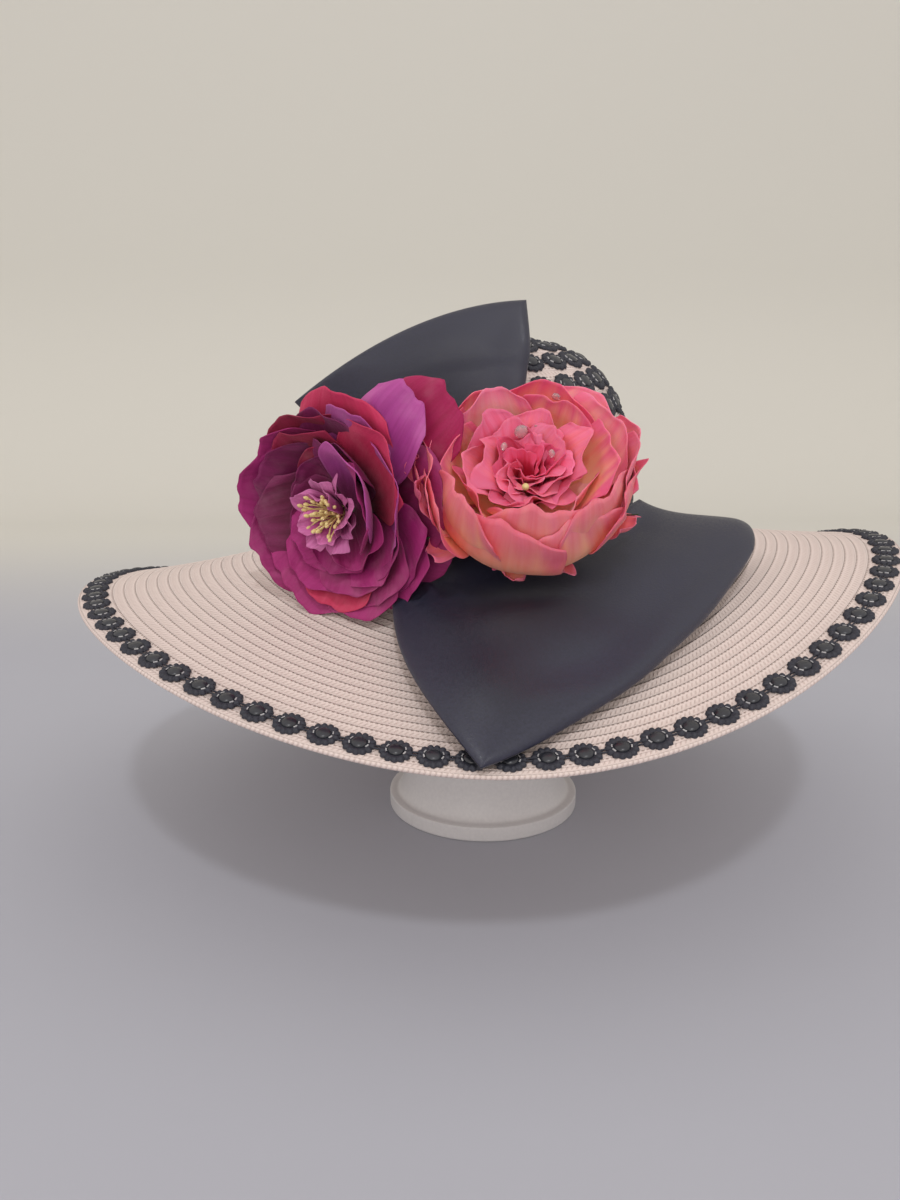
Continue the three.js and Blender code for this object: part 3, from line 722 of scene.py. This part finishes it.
def wing_piece(name, point_at, hollows, roll, middle, corner=0.0):
    """A stiff double layer of satin. Its edges are rolled to half thickness roll, and it is half as thick as
    middle away from them. Hollows are oval dents, and corner rounds off the wing's far outer corner."""
    rolled = 0.05
    step = 0.01
    edge = 0.5 - 0.5 * np.cos(np.linspace(0, math.pi, 9)[:-1] / 2)
    edge = (edge / edge[-1] * rolled)[:-1]
    shares = np.concatenate([edge, np.linspace(rolled, 1 - rolled, 44), 1 - edge[::-1]])
    along, across = np.meshgrid(shares, shares, indexing="ij")
    from_edge = np.minimum(np.minimum(along, 1 - along), np.minimum(across, 1 - across))
    if corner:
        s, t = (np.clip((way - 1 + corner) / corner, 0, 1) for way in (along, across))
        along = along + corner * s * (np.sqrt(1 - t * t / 2) - 1)
        across = across + corner * t * (np.sqrt(1 - s * s / 2) - 1)
    forward = point_at(np.minimum(1, along + step), across) - point_at(np.maximum(0, along - step), across)
    sideways = point_at(along, np.minimum(1, across + step)) - point_at(along, np.maximum(0, across - step))
    normal = unit(np.cross(forward, sideways))
    place = point_at(along, across)
    half = roll * np.sqrt(np.clip(1 - (1 - np.clip(from_edge / rolled, 0, 1)) ** 2, 0, 1))
    half = mix(half, middle, smooth(0.06, 0.2, from_edge))
    relief = sum(hollow_depth(along, across, *hollow) for hollow in hollows) * smooth(0, 0.12, from_edge)
    face = place + normal * (half + relief)[..., None]
    back = place - normal * (half - relief)[..., None]
    faces = sheet_faces(*along.shape)
    on_cloth = np.stack([across, along], -1) * CLOTH_LENGTH
    uv = both_sides(on_cloth, on_cloth).reshape(-1, 2)[faces.ravel()]
    # Painted shade and highlight: the colour is darkened in the hollows and lightened on the raised parts, by
    # the relief
    painted_shade_and_highlight = np.repeat(np.clip(1 + 0.07 * relief, 0.45, 1.3)[..., None], 3, axis=-1)
    tint = both_sides(painted_shade_and_highlight, painted_shade_and_highlight).reshape(-1, 3)
    return new_object(name, both_sides(face, back), faces, SATIN, uv=uv, tint=tint)


# Flowers. A petal is widest at this share of its length, and narrows to its root and round its tip. It
# fills this share of its width times its length
WIDEST = 0.62
ROOT_WIDTH = 0.2
TIP_ROUND = 0.62


def ring(count, start, width, mid_out, mid_up, tip_out, tip_up, palettes, low=0.0):
    """Evenly turned petals, those on the lower side drawn in by low, as rows of a petal table."""
    rows = []
    for i in range(count):
        turn = start + 360 * i / count
        drawn = low * max(0, -math.sin(math.radians(turn)))
        size = 1 + 0.06 * math.sin(2.4 * i + start)
        rows.append((
            turn + 5 * math.sin(1.7 * i), width * size, mid_out - 0.5 * drawn, mid_up, tip_out * size - drawn,
            tip_up * size - drawn, palettes[i % len(palettes)],
        ))
    return rows


def petals(root_out, root_up, rows, ruffle=1.4, roll=1.0, notch=0.03):
    return dict(root=(root_out, root_up), rows=rows, ruffle=ruffle, roll=roll, notch=notch)


# Colours of a petal's root, middle, edge and back
PEACH = [(255, 206, 158), (255, 188, 152), (236, 106, 144), (255, 174, 142)]
SALMON = [(255, 198, 150), (255, 170, 138), (232, 98, 138), (253, 158, 132)]
BLUSH = [(255, 194, 164), (255, 196, 182), (240, 126, 160), (255, 174, 156)]
FRILL = [(246, 140, 158), (244, 128, 156), (238, 112, 152), (244, 130, 156)]
ROSE = [(252, 158, 132), (246, 122, 128), (240, 120, 154), (248, 138, 134)]
HOT_PINK = [(240, 96, 96), (234, 70, 108), (240, 120, 158), (238, 88, 120)]
DEEP_PINK = [(222, 54, 74), (220, 42, 86), (234, 96, 138), (226, 58, 98)]
CERISE = [(92, 14, 54), (150, 32, 100), (162, 44, 112), (150, 36, 98)]
VIOLET = [(108, 26, 74), (166, 60, 142), (182, 80, 154), (174, 70, 146)]
RED = [(122, 16, 50), (182, 38, 76), (194, 54, 90), (178, 40, 78)]
DARK = [(60, 8, 36), (108, 20, 70), (130, 34, 92), (122, 28, 82)]
WINE = [(96, 12, 40), (150, 26, 66), (158, 34, 78), (146, 28, 66)]
MAUVE = [(140, 44, 100), (182, 80, 146), (208, 118, 174), (180, 78, 142)]
GREEN = [(38, 60, 34), (52, 80, 46), (62, 84, 52), (48, 70, 42)]

# Each row of a petal table: turn (0 to the right, 90 up), width, then how far out of the flower's axis and up
# along it the petal's middle and tip are, and its colours
CORAL_BOWL = petals(12, -6, [
    (-112, 68, 45, 5, 36, 37, SALMON),
    (-60, 60, 45, 5, 36, 34, PEACH),
    (-20, 52, 46, 7, 46, 32, SALMON),
    (-158, 50, 45, 7, 46, 33, SALMON),
    (178, 46, 44, 8, 49, 28, ROSE),
    (12, 48, 45, 8, 51, 30, BLUSH),
    (140, 44, 41, 6, 49, 20, ROSE),
    (48, 56, 42, 6, 55, 22, BLUSH),
    (94, 52, 39, 6, 49, 20, SALMON),
], ruffle=1.5, roll=1.5, notch=0.03)
CORAL_CUP = petals(11, -3, [
    (-86, 60, 41, 8, 29, 43, PEACH),
    (-38, 56, 43, 9, 36, 41, PEACH),
    (-142, 54, 42, 9, 37, 43, PEACH),
    (-4, 48, 43, 9, 46, 35, ROSE),
    (-172, 46, 43, 9, 45, 37, PEACH),
    (116, 48, 37, 9, 42, 30, PEACH),
    (72, 52, 37, 9, 43, 31, SALMON),
    (30, 50, 39, 10, 47, 31, BLUSH),
    (156, 44, 39, 10, 42, 32, PEACH),
], ruffle=1.5, roll=1.8, notch=0.035)
CORAL_FRILL = petals(12, -2, [
    (178, 12, 47, 15, 54, 33, FRILL),
    (165, 12, 46, 13, 54, 30, FRILL),
    (193, 11, 46, 15, 52, 35, FRILL),
    (-146, 18, 44, 0, 57, 5, ROSE),
    (-102, 17, 37, -3, 47, 3, SALMON),
    (-70, 16, 38, -3, 47, 4, ROSE),
    (-24, 16, 44, 2, 56, 12, ROSE),
    (74, 18, 40, 8, 54, 20, ROSE),
], ruffle=1.6, roll=-1.0, notch=0.08)
MAGENTA_BOWL = petals(10, -3, [
    (46, 48, 44, -2, 76, -12, WINE),
    (53, 42, 42, 9, 72, 5, VIOLET),
    (84, 64, 38, 7, 59, 16, RED),
    (116, 56, 36, 7, 51, 24, WINE),
    (140, 50, 36, 7, 49, 28, CERISE),
    (166, 56, 36, 8, 53, 32, CERISE),
    (204, 56, 36, 8, 52, 30, CERISE),
    (240, 56, 34, 8, 51, 27, CERISE),
    (274, 58, 34, 6, 52, 22, CERISE),
    (306, 56, 36, 5, 55, 12, CERISE),
    (334, 56, 38, 0, 58, -3, CERISE),
    (6, 56, 38, 2, 56, 4, CERISE),
], ruffle=1.6, roll=1.0, notch=0.035)
MAGENTA_CUP = petals(9, -1, [
    (222, 50, 32, 9, 48, 26, CERISE),
    (257, 52, 31, 9, 47, 24, RED),
    (291, 54, 32, 8, 48, 19, CERISE),
    (322, 54, 34, 7, 50, 14, CERISE),
], ruffle=1.6, roll=1.5, notch=0.035)
MAGENTA_MIDDLE = petals(8, 0, [
    (40, 56, 32, 13, 52, 26, RED),
    (16, 60, 33, 12, 45, 27, VIOLET),
    (346, 56, 31, 11, 42, 25, CERISE),
    (64, 48, 33, 11, 53, 24, VIOLET),
    (92, 50, 32, 9, 49, 22, DARK),
    (122, 50, 30, 9, 44, 26, WINE),
    (152, 50, 30, 9, 45, 28, DARK),
    (186, 50, 30, 10, 45, 28, DARK),
    (236, 46, 28, 11, 41, 25, CERISE),
    (272, 48, 27, 11, 40, 23, CERISE),
    (308, 48, 28, 11, 40, 22, CERISE),
], ruffle=1.8, roll=1.0, notch=0.04)
MAGENTA_INNER = petals(2, 5, [
    (34, 58, 23, 17, 37, 37, VIOLET),
    (8, 48, 21, 16, 30, 34, CERISE),
    (72, 40, 23, 11, 34, 26, DARK),
    (106, 40, 22, 9, 31, 20, WINE),
    (140, 40, 22, 9, 29, 18, DARK),
    (178, 40, 22, 9, 29, 19, DARK),
    (216, 38, 21, 11, 31, 22, CERISE),
    (256, 38, 20, 12, 29, 21, CERISE),
    (300, 40, 20, 13, 28, 22, CERISE),
], ruffle=1.8, roll=1.0, notch=0.04)

# The whorls of each flower, from the outside in, and their groups of petals
CORAL_PETALS = [
    [CORAL_BOWL, CORAL_CUP, CORAL_FRILL],
    [petals(9, 0, ring(7, 62, 42, 30, 12, 36, 35, [PEACH, BLUSH, PEACH, SALMON], 11), ruffle=2.0, roll=2.0)],
    [
        petals(6, 2, ring(7, 74, 31, 18, 15, 27, 35, [ROSE, HOT_PINK], 11), ruffle=2.6, roll=3.0, notch=0.04),
        petals(5, 3, ring(6, 100, 26, 12, 16, 20, 35, [HOT_PINK, ROSE], 8), ruffle=2.4, roll=3.0, notch=0.05),
    ],
    [
        petals(3, 4, ring(6, 80, 21, 8, 15, 14, 33, [HOT_PINK, DEEP_PINK], 5), ruffle=2.2, roll=2.6, notch=0.05),
        petals(1, 6, ring(5, 110, 15, 5, 16, 7, 31, [DEEP_PINK], 2), ruffle=1.6, roll=2.0, notch=0.05),
    ],
]
MAGENTA_PETALS = [[MAGENTA_BOWL, MAGENTA_CUP], [MAGENTA_MIDDLE], [MAGENTA_INNER]]
MAUVE_PETALS = [
    petals(1, 11, ring(8, 100, 13, 10, 19, 17, 28, [MAUVE]), ruffle=1.2, roll=1.5),
    petals(1, 12, ring(5, 118, 11, 7, 20, 11, 31, [MAUVE]), ruffle=1.0, roll=1.5),
]
CORAL_SEPALS = [petals(8, -8, [
    (-16, 15, 34, -3, 55, 9, GREEN), (-150, 15, 34, -3, 56, 7, GREEN), (100, 15, 30, -4, 44, 2, GREEN),
], ruffle=0.8)]
MAGENTA_SEPALS = [petals(8, -8, ring(4, 20, 15, 20, -9, 30, -8, [GREEN]), ruffle=0.8)]


def petal_width(along):
    growing = mix(ROOT_WIDTH, 1, np.sin(np.minimum(1, along / WIDEST) * math.pi / 2))
    closing = np.sqrt(1 - TIP_ROUND * (np.maximum(0, along - WIDEST) / (1 - WIDEST)) ** 2)
    return np.where(along < WIDEST, growing, closing)


def petal_point(root, row, across, along, height):
    """A point of a petal in the flower's frame: its spine bends from root through its middle to its tip in the
    plane of its turn, and it wraps round the flower's axis across."""
    turn = math.radians(row[0])
    root, middle, tip = np.array(root, float), np.array(row[2:4], float), np.array(row[4:6], float)
    pull = 2 * middle - (root + tip) / 2
    t = along[..., None]
    spine = (1 - t) ** 2 * root + 2 * t * (1 - t) * pull + t ** 2 * tip
    way = unit((1 - t) * (pull - root) + t * (tip - pull))
    radial, axial = spine[..., 0], spine[..., 1]
    half = row[1] * petal_width(along) / 2
    curl = np.maximum(radial, 0.75 * half)
    swing = across * half / curl
    fan = 2.5 * across * np.sqrt(along)
    wrapped = curl + fan - height * way[..., 1]
    outwards = radial - curl + wrapped * np.cos(swing)
    sideways = wrapped * np.sin(swing)
    return np.stack(
        [
            outwards * math.cos(turn) - sideways * math.sin(turn),
            outwards * math.sin(turn) + sideways * math.cos(turn),
            axial + height * way[..., 0],
        ],
        -1,
    )


class Flower:
    """The flower's frame on the crown: a point and three axes, its own Z along the way it faces. It faces
    left of the front and up by the angles given, on a stem from its pad on the crown's wall."""

    def __init__(self, angle, rise, left, up, stem, shift):
        left, up = math.radians(left), math.radians(up)
        self.axis = np.array([-math.sin(left) * math.cos(up), -math.cos(left) * math.cos(up), math.sin(up)])
        self.right = unit(np.cross([0, 0, 1], self.axis))
        self.up = np.cross(self.axis, self.right)
        wall = math.radians(angle)
        self.wall_normal = crown_normal(wall, rise)
        self.pad = crown_point(wall, rise) + PAD_SEAT * self.wall_normal
        self.middle = self.pad + stem * self.axis
        self.shift = np.array([*shift, 0])

    def world(self, points):
        points = np.asarray(points, float) + self.shift
        return self.middle + points @ np.stack([self.right, self.up, self.axis])


# The middle of a flower's pad stands this far off the crown's wall
PAD_SEAT = 2 * CLEARANCE + 3.45
CORAL = Flower(8, 0.13, 3, 36, 14, (-5, 0))
MAGENTA = Flower(-32.5, 0.17, 37, -6, 29, (-4, -7))


def petals_piece(name, flower, groups, material, seed, thickness=0.35, pointed=False):
    """Fine petals: thin ruffled sheets with wavy edges, tinted from root to edge."""
    rng = np.random.default_rng(seed)
    rows, columns = 24, 21
    points, all_faces, tints, uv = [], [], [], []
    share = np.linspace(0, 1, rows)[:, None] ** 0.85
    even = np.linspace(-1, 1, columns)[None, :]
    across = 0.6 * np.sin(even * math.pi / 2) + 0.4 * even
    side = np.abs(across)
    faces = sheet_faces(rows, columns)
    on_cloth = np.stack(np.broadcast_arrays(across * 0.5, share), -1)
    on_cloth = both_sides(on_cloth, on_cloth).reshape(-1, 2)[faces.ravel()]
    each = [(group, row) for group in groups for row in group["rows"]]
    for number, (group, row) in enumerate(each):
        root, middle, edge, behind = (np.array(srgb(*c)) for c in row[6])
        phase = rng.uniform(0, TURN, 6)
        notch, ruffle = group["notch"], group["ruffle"]

        # The petal's outline: a rounded or pointed tip with small notches
        tip = 1 - (0.5 if pointed else 0.13) * side ** 2.8
        tip = tip - notch * (0.5 + 0.5 * np.sin(5.5 * across + phase[0]))
        tip = tip - 0.3 * notch * np.sin(12 * across + phase[1])
        along = share * (1 + (tip - 1) * share ** 2)
        taper = 1 - smooth(0.45, 1, share) * (0.85 if pointed else 0)
        wide = across * taper * (1 + 0.05 * np.sin(8 * share + phase[3]) * share)

        # Its height off the plain surface: waves across it, fluted sides, creases and a curled lip
        wave = np.sin(3.6 * across + phase[2]) * share ** 3
        flute = np.sin(7 * share + phase[3] + 1.5 * np.sign(across)) * smooth(0.55, 1, side) * share
        crease = np.sin(8.5 * across + phase[4]) * share ** 2 * 0.25
        lip = smooth(0.78, 1, share) * (1 + 0.5 * np.sin(3 * across + phase[5]))
        height = ruffle * (wave + 0.8 * flute + crease) - group["roll"] * lip
        height = height - 1.2 * smooth(0.7, 1, side) * share
        face = petal_point(group["root"], row, wide, along, height + thickness)
        back = petal_point(group["root"], row, wide, along, height)

        # Its colours: from the root to the middle, and streaks of the edge's colour inwards
        tone = rng.uniform(-1, 1, 3)
        streak = 0.1 * np.sin(17 * across + 3 * share + phase[1]) + 0.06 * np.sin(31 * across + phase[2])
        sides = 0.7 * smooth(0.6, 1.05, side) * smooth(0.2, 0.7, share)
        to_edge = np.clip(smooth(0.6, 1.04, share + 0.6 * streak) + sides, 0, 1)[..., None]
        from_root = smooth(0.02, 0.55, share + streak * share)[..., None]
        bright = 1 + 0.1 * tone[0]
        warm = 0.01 * tone[1] * np.array([1, -0.5, 1])
        face_tint = mix(mix(root, middle, from_root), edge, to_edge)
        face_tint = np.clip(face_tint * bright + warm, 0.002, 1)
        back_tint = mix(mix(root, behind, np.clip(from_root + 0.3, 0, 1)), edge, to_edge * 0.8)
        back_tint = np.clip(back_tint * bright, 0.002, 1)

        points.append(flower.world(both_sides(back, face).reshape(-1, 3)))
        all_faces.append(faces + number * 2 * rows * columns)
        tints.append(both_sides(back_tint, face_tint).reshape(-1, 3))
        uv.append(on_cloth + (number * 1.7, number * 3.1))
    points, all_faces, tints, uv = (np.concatenate(values) for values in (points, all_faces, tints, uv))
    return new_object(name, points, all_faces, material, uv=uv, tint=tints)


def flower_pieces(prefix, flower, whorls, names, silks, seed):
    """One piece for each whorl, with the silk of the same place in silks; the slot beside that silk is passed on
    but not used.
    """
    for k, (groups, name, (silk, slot)) in enumerate(zip(whorls, names, silks)):
        made = petals_piece("silk_" + prefix + name, flower, groups, silk, seed + k)
        placed(made, slot, prefix + name)


# Any way that no rod or petal of the flowers runs along, to start a frame across it
ASKEW = np.array([0.3, 0.2, 0.9])


def rod_mesh(path, radii, sides):
    """A round tube along points, with a radius at each, closed at both ends."""
    path = np.asarray(path, float)
    heading = unit(np.gradient(path, axis=0))
    first = unit(np.cross(heading, ASKEW))
    second = np.cross(heading, first)
    turns = even_turns(sides)[None, :, None]
    circle = np.cos(turns) * first[:, None] + np.sin(turns) * second[:, None]
    rings = path[:, None] + np.asarray(radii)[:, None, None] * circle
    return rings.reshape(-1, 3), tube_faces(len(path), sides)


def stamens_piece():
    """Threads that spread from the magenta flower's middle, each with a small bud at its end."""
    rng = np.random.default_rng(21)
    count = 38
    base = 12
    share = np.linspace(0, 1, 7)
    bud = 0.95 * np.sqrt(np.clip(1 - np.linspace(-0.98, 0.98, 6) ** 2, 0.02, 1))
    parts = []
    for i in range(count):
        turn = TURN * i / count * 2.618
        reach = rng.uniform(2, 11)
        top = base + rng.uniform(12, 20)
        radial = 1.5 + reach * share ** 1.5
        path = np.stack([radial * math.cos(turn), radial * math.sin(turn), mix(base - 1, top, share)], -1)
        path[:, :2] += 1.2 * np.sin(3 * share[:, None] + rng.uniform(0, 6, 2))
        parts.append(rod_mesh(path, np.full(len(path), 0.4), 6))
        way = unit(path[-1] - path[-2] + rng.uniform(-0.4, 0.4, 3))
        parts.append(rod_mesh(path[-1] + np.linspace(-0.4, 2.8, 6)[:, None] * way, bud, 8))
    parts = [(MAGENTA.world(points), faces) for points, faces in parts]
    return placed(joined_meshes("magenta_stamen_threads", parts, STAMEN), "stamen", "magenta_stamens")


# The stamen that leans out of the coral flower: points in the flower's frame, and radius at each
CORAL_THREAD = np.array([
    (-1, -6, 14, 0.7), (-1.5, -10, 24, 0.6), (-2.5, -13.5, 31, 0.55), (-2, -15.5, 35, 0.6),
    (-2.4, -17.4, 37.5, 0.7),
])
CORAL_BUD = np.array([
    (-2.2, -15.4, 34.6, 0.7), (-2.3, -16.4, 36, 1.4), (-2.5, -17.6, 37.6, 1.7), (-2.6, -18.6, 39, 1.3),
    (-2.6, -19.2, 40, 0.4),
])


def coral_stamen():
    parts = []
    for rod, sides in ((CORAL_THREAD, 8), (CORAL_BUD, 10)):
        points, faces = rod_mesh(rod[:, :3], rod[:, 3], sides)
        parts.append((CORAL.world(points), faces))
    return placed(joined_meshes("coral_stamen", parts, STAMEN), "stamen")


# Clear drops on the coral petals: whorl, group and row of the petal, place across and along it, and size
DEW = [
    (2, 1, 0, 0.0, 0.9, 3.4),
    (3, 0, 1, 0.1, 0.95, 2.0),
    (3, 0, 5, 0.0, 0.95, 2.0),
    (2, 0, 0, 0.1, 0.8, 1.6),
    (0, 1, 6, -0.1, 0.9, 2.2),
    (0, 0, 7, 0.2, 0.8, 1.8),
]
DROP_OUTLINE = [(0.9, 0.0), (1.0, 0.25), (0.9, 0.6), (0.62, 0.85), (0.25, 0.97)]


def dew_drops():
    sides = 14
    parts = []
    for whorl, group, number, across, along, size in DEW:
        chosen = CORAL_PETALS[whorl][group]
        place = chosen["root"], chosen["rows"][number], np.array(across), np.array(along)
        foot, seat, above = (petal_point(*place, height) for height in (0.0, 0.2, 1.0))
        out = unit(above - foot)
        first = unit(np.cross(out, ASKEW))
        axes = np.stack([first, np.cross(out, first), out])
        rings = np.concatenate(turned(DROP_OUTLINE, even_turns(sides)))
        parts.append((CORAL.world(seat + size * rings @ axes), tube_faces(len(DROP_OUTLINE), sides)))
    return placed(joined_meshes("dew_drops", parts, DROP), "pink_silk")


def calyx_piece(name, flower, groups, node):
    """The sepals under a flower, and its stem from the pad on the crown to the middle of the flower."""
    leaves = petals_piece(name, flower, groups, SEPAL, 5, thickness=0.8, pointed=True)
    placed(leaves, "sepal", node)
    radii = [9, 6.5, 4.6, 4.2, 4.4, 5.5, 8, 11]
    along = np.linspace(0, 1, len(radii))[:, None]
    path = mix(flower.pad - 0.8 * flower.wall_normal, flower.world([0, 0, -3.0]), along)
    placed(joined_meshes(name + "_stem", [rod_mesh(path, radii, 20)], STEM), "sepal")


def knot_piece():
    """The gathered middle of the bow, behind the flowers."""
    rows, columns = 26, 40
    rise = np.linspace(0.02, 0.98, rows)[:, None] * math.pi
    turn = even_turns(columns)[None, :]
    pleat = np.sin(rise) ** 0.8 * (1 + 0.05 * np.sin(turn * 9 + 2 * rise) * np.sin(rise))
    x = KNOT_WIDTH / 2 * np.cos(turn) * pleat
    y = KNOT_DEPTH / 2 * np.sin(turn) * pleat
    z = KNOT_HEIGHT / 2 * np.cos(rise) + 0 * turn
    cos, sin = math.cos(math.radians(KNOT_ANGLE)), math.sin(math.radians(KNOT_ANGLE))
    points = np.stack([x * cos - y * sin, x * sin + y * cos, z], -1)
    faces = tube_faces(rows, columns)
    uv = np.zeros((sum(len(face) for face in faces), 2))
    tint = np.ones((rows * columns, 3))
    made = new_object("bow_centre", points + knot_middle(), faces, SATIN, uv=uv, tint=tint)
    return placed(made, "satin", "bow_knot")


# The stand's outline from its underside up: radius and height, and then radius and depth below the seat's top
STAND_OUTLINE = [
    (59, 0), (60.4, 0.3), (60.9, 0.9), (61, 1.6), (61, 8.7), (60.9, 9.2), (60.4, 9.5), (57.2, 9.6),
    (56, 9.8), (55, 10.6), (53.8, 12.6), (52.3, 16.5), (50.9, 22), (50, 28), (48.5, 40), (46, 62), (43.6, 85),
    (40.8, 110), (38, 140), (35.4, 168), (34, 190), (34.2, 210), (36, 232), (39.4, 258),
]
SEAT_OUTLINE = [(42, 14), (42, 8.5), (40, 6), (33, 3.6), (20, 1.2), (8, 0.2)]


def stand_piece():
    columns = 128
    seat_top = CROWN_TOP - CROWN_WALL - CLEARANCE
    outline = STAND_OUTLINE + [(radius, seat_top - depth) for radius, depth in SEAT_OUTLINE]
    count = len(outline)
    points = np.concatenate(turned(outline, even_turns(columns)) + [[[0, 0, 0], [0, 0, seat_top]]])
    faces = loop_faces(count, columns, False).tolist()
    last = (count - 1) * columns
    for j in range(columns):
        k = (j + 1) % columns
        faces.append([k, j, count * columns])
        faces.append([last + j, last + k, count * columns + 1])
    return placed(new_object("round_stand", points, faces, FROSTED), "stand_white", "stand")


# Hollows of the wings: middle, long way and short way as shares along and across, and height off the wing
LOWER_HOLLOWS = [
    ((0.29, 0.5), (0.17, 0.13), (-0.07, 0.17), -8.0),
    ((0.1, 0.8), (0.12, 0.09), (-0.06, 0.16), -5.0),
    ((0.62, 0.3), (0.2, 0.05), (-0.05, 0.16), -3.0),
    ((0.3, 0.86), (0.16, 0.05), (-0.02, 0.1), 2.5),
    ((0.62, 0.72), (0.2, 0.02), (-0.02, 0.16), 2.5),
]
UPPER_HOLLOWS = [
    ((0.65, 0.55), (0.3, 0.05), (-0.05, 0.22), -2.5),
    ((0.75, 0.2), (0.25, 0.0), (0.0, 0.12), 1.2),
]
WHORLS = ["outer_petals", "middle_petals", "inner_petals", "centre"]

brim_piece()
crown_piece()
brim_daisies()
crown_daisies()
knot = knot_piece()
lower = wing_piece("satin_wing_lower", lower_wing_point, LOWER_HOLLOWS, 3.2, 1.6, corner=0.38)
placed(lower, "satin", "bow_wing_lower")
upper = wing_piece("satin_wing_upper", upper_wing_point, UPPER_HOLLOWS, 2.6, 1.4)
placed(upper, "satin", "bow_wing_upper")

calyx_piece("coral_sepals", CORAL, CORAL_SEPALS, "coral_calyx")
calyx_piece("magenta_sepals", MAGENTA, MAGENTA_SEPALS, "magenta_calyx")
coral_silks = [(CORAL_SILK, "coral_silk")] * 2 + [(PINK_SILK, "pink_silk")] * 2
magenta_silks = [(MAGENTA_SILK, "magenta_silk")] * 2 + [(BURGUNDY_SILK, "burgundy_silk")]
flower_pieces("coral_", CORAL, CORAL_PETALS, WHORLS, coral_silks, 40)
flower_pieces("magenta_", MAGENTA, MAGENTA_PETALS, WHORLS, magenta_silks, 60)
mauve = petals_piece("silk_mauve_petals", MAGENTA, MAUVE_PETALS, MAGENTA_SILK, 70)
placed(mauve, "magenta_silk")
coral_stamen()
dew_drops()
stamens_piece()
stand_piece()

# Stage, in metres: floor and wall in one sweep, soft light from above on the camera's side, and the camera
WALL_START = 1.4
WALL_ROUND = 0.6
WALL_TOP = 4.0
LIGHT_TARGET = (0, 0, 0.15)
CAMERA_PLACE = (-0.0501, -0.5528, 0.2581)
CAMERA_DOWN = 12.513
CAMERA_RIGHT = 2.946


def cove():
    curve = [(-3.0, 0.0), (WALL_START, 0.0)]
    for t in np.linspace(0.1, math.pi / 2, 14):
        curve.append((WALL_START + WALL_ROUND * math.sin(t), WALL_ROUND * (1 - math.cos(t))))
    curve.append((WALL_START + WALL_ROUND, WALL_TOP))
    points = [(x, y, z) for y, z in curve for x in (-4.0, 4.0)]
    faces = [(2 * i, 2 * i + 1, 2 * i + 3, 2 * i + 2) for i in range(len(curve) - 1)]
    new_object("floor", np.array(points) / MM, faces, floor_finish())


def softbox(name, place, size, watts, colour):
    light = bpy.data.lights.new(name, "AREA")
    light.shape = "RECTANGLE"
    light.size = light.size_y = size
    light.energy = watts
    light.color = colour
    made = bpy.data.objects.new(name, light)
    made.location = place
    made.rotation_mode = "QUATERNION"
    made.rotation_quaternion = (Vector(place) - Vector(LIGHT_TARGET)).to_track_quat("Z", "Y")
    bpy.context.scene.collection.objects.link(made)


cove()
softbox("key", (0.0, -1.7, 2.3), 0.18, 13.2, (0.96, 0.98, 1.0))
softbox("fill", (-0.7, -2.6, 0.9), 1.6, 11, (1.0, 0.95, 0.9))

world = bpy.data.worlds.new("pale_room")
world.use_nodes = True
background = world.node_tree.nodes["Background"]
background.inputs["Color"].default_value = (1.0, 0.95, 0.905, 1)
background.inputs["Strength"].default_value = 0.88
bpy.context.scene.world = world

camera = bpy.data.cameras.new("camera")
camera.lens = 27
camera.sensor_width = 36
camera.sensor_fit = "AUTO"
view = bpy.data.objects.new("camera", camera)
view.location = CAMERA_PLACE
view.rotation_euler = (math.radians(90 - CAMERA_DOWN), 0, math.radians(-CAMERA_RIGHT))
bpy.context.scene.collection.objects.link(view)
bpy.context.scene.camera = view
bpy.context.scene.view_settings.view_transform = "Standard"
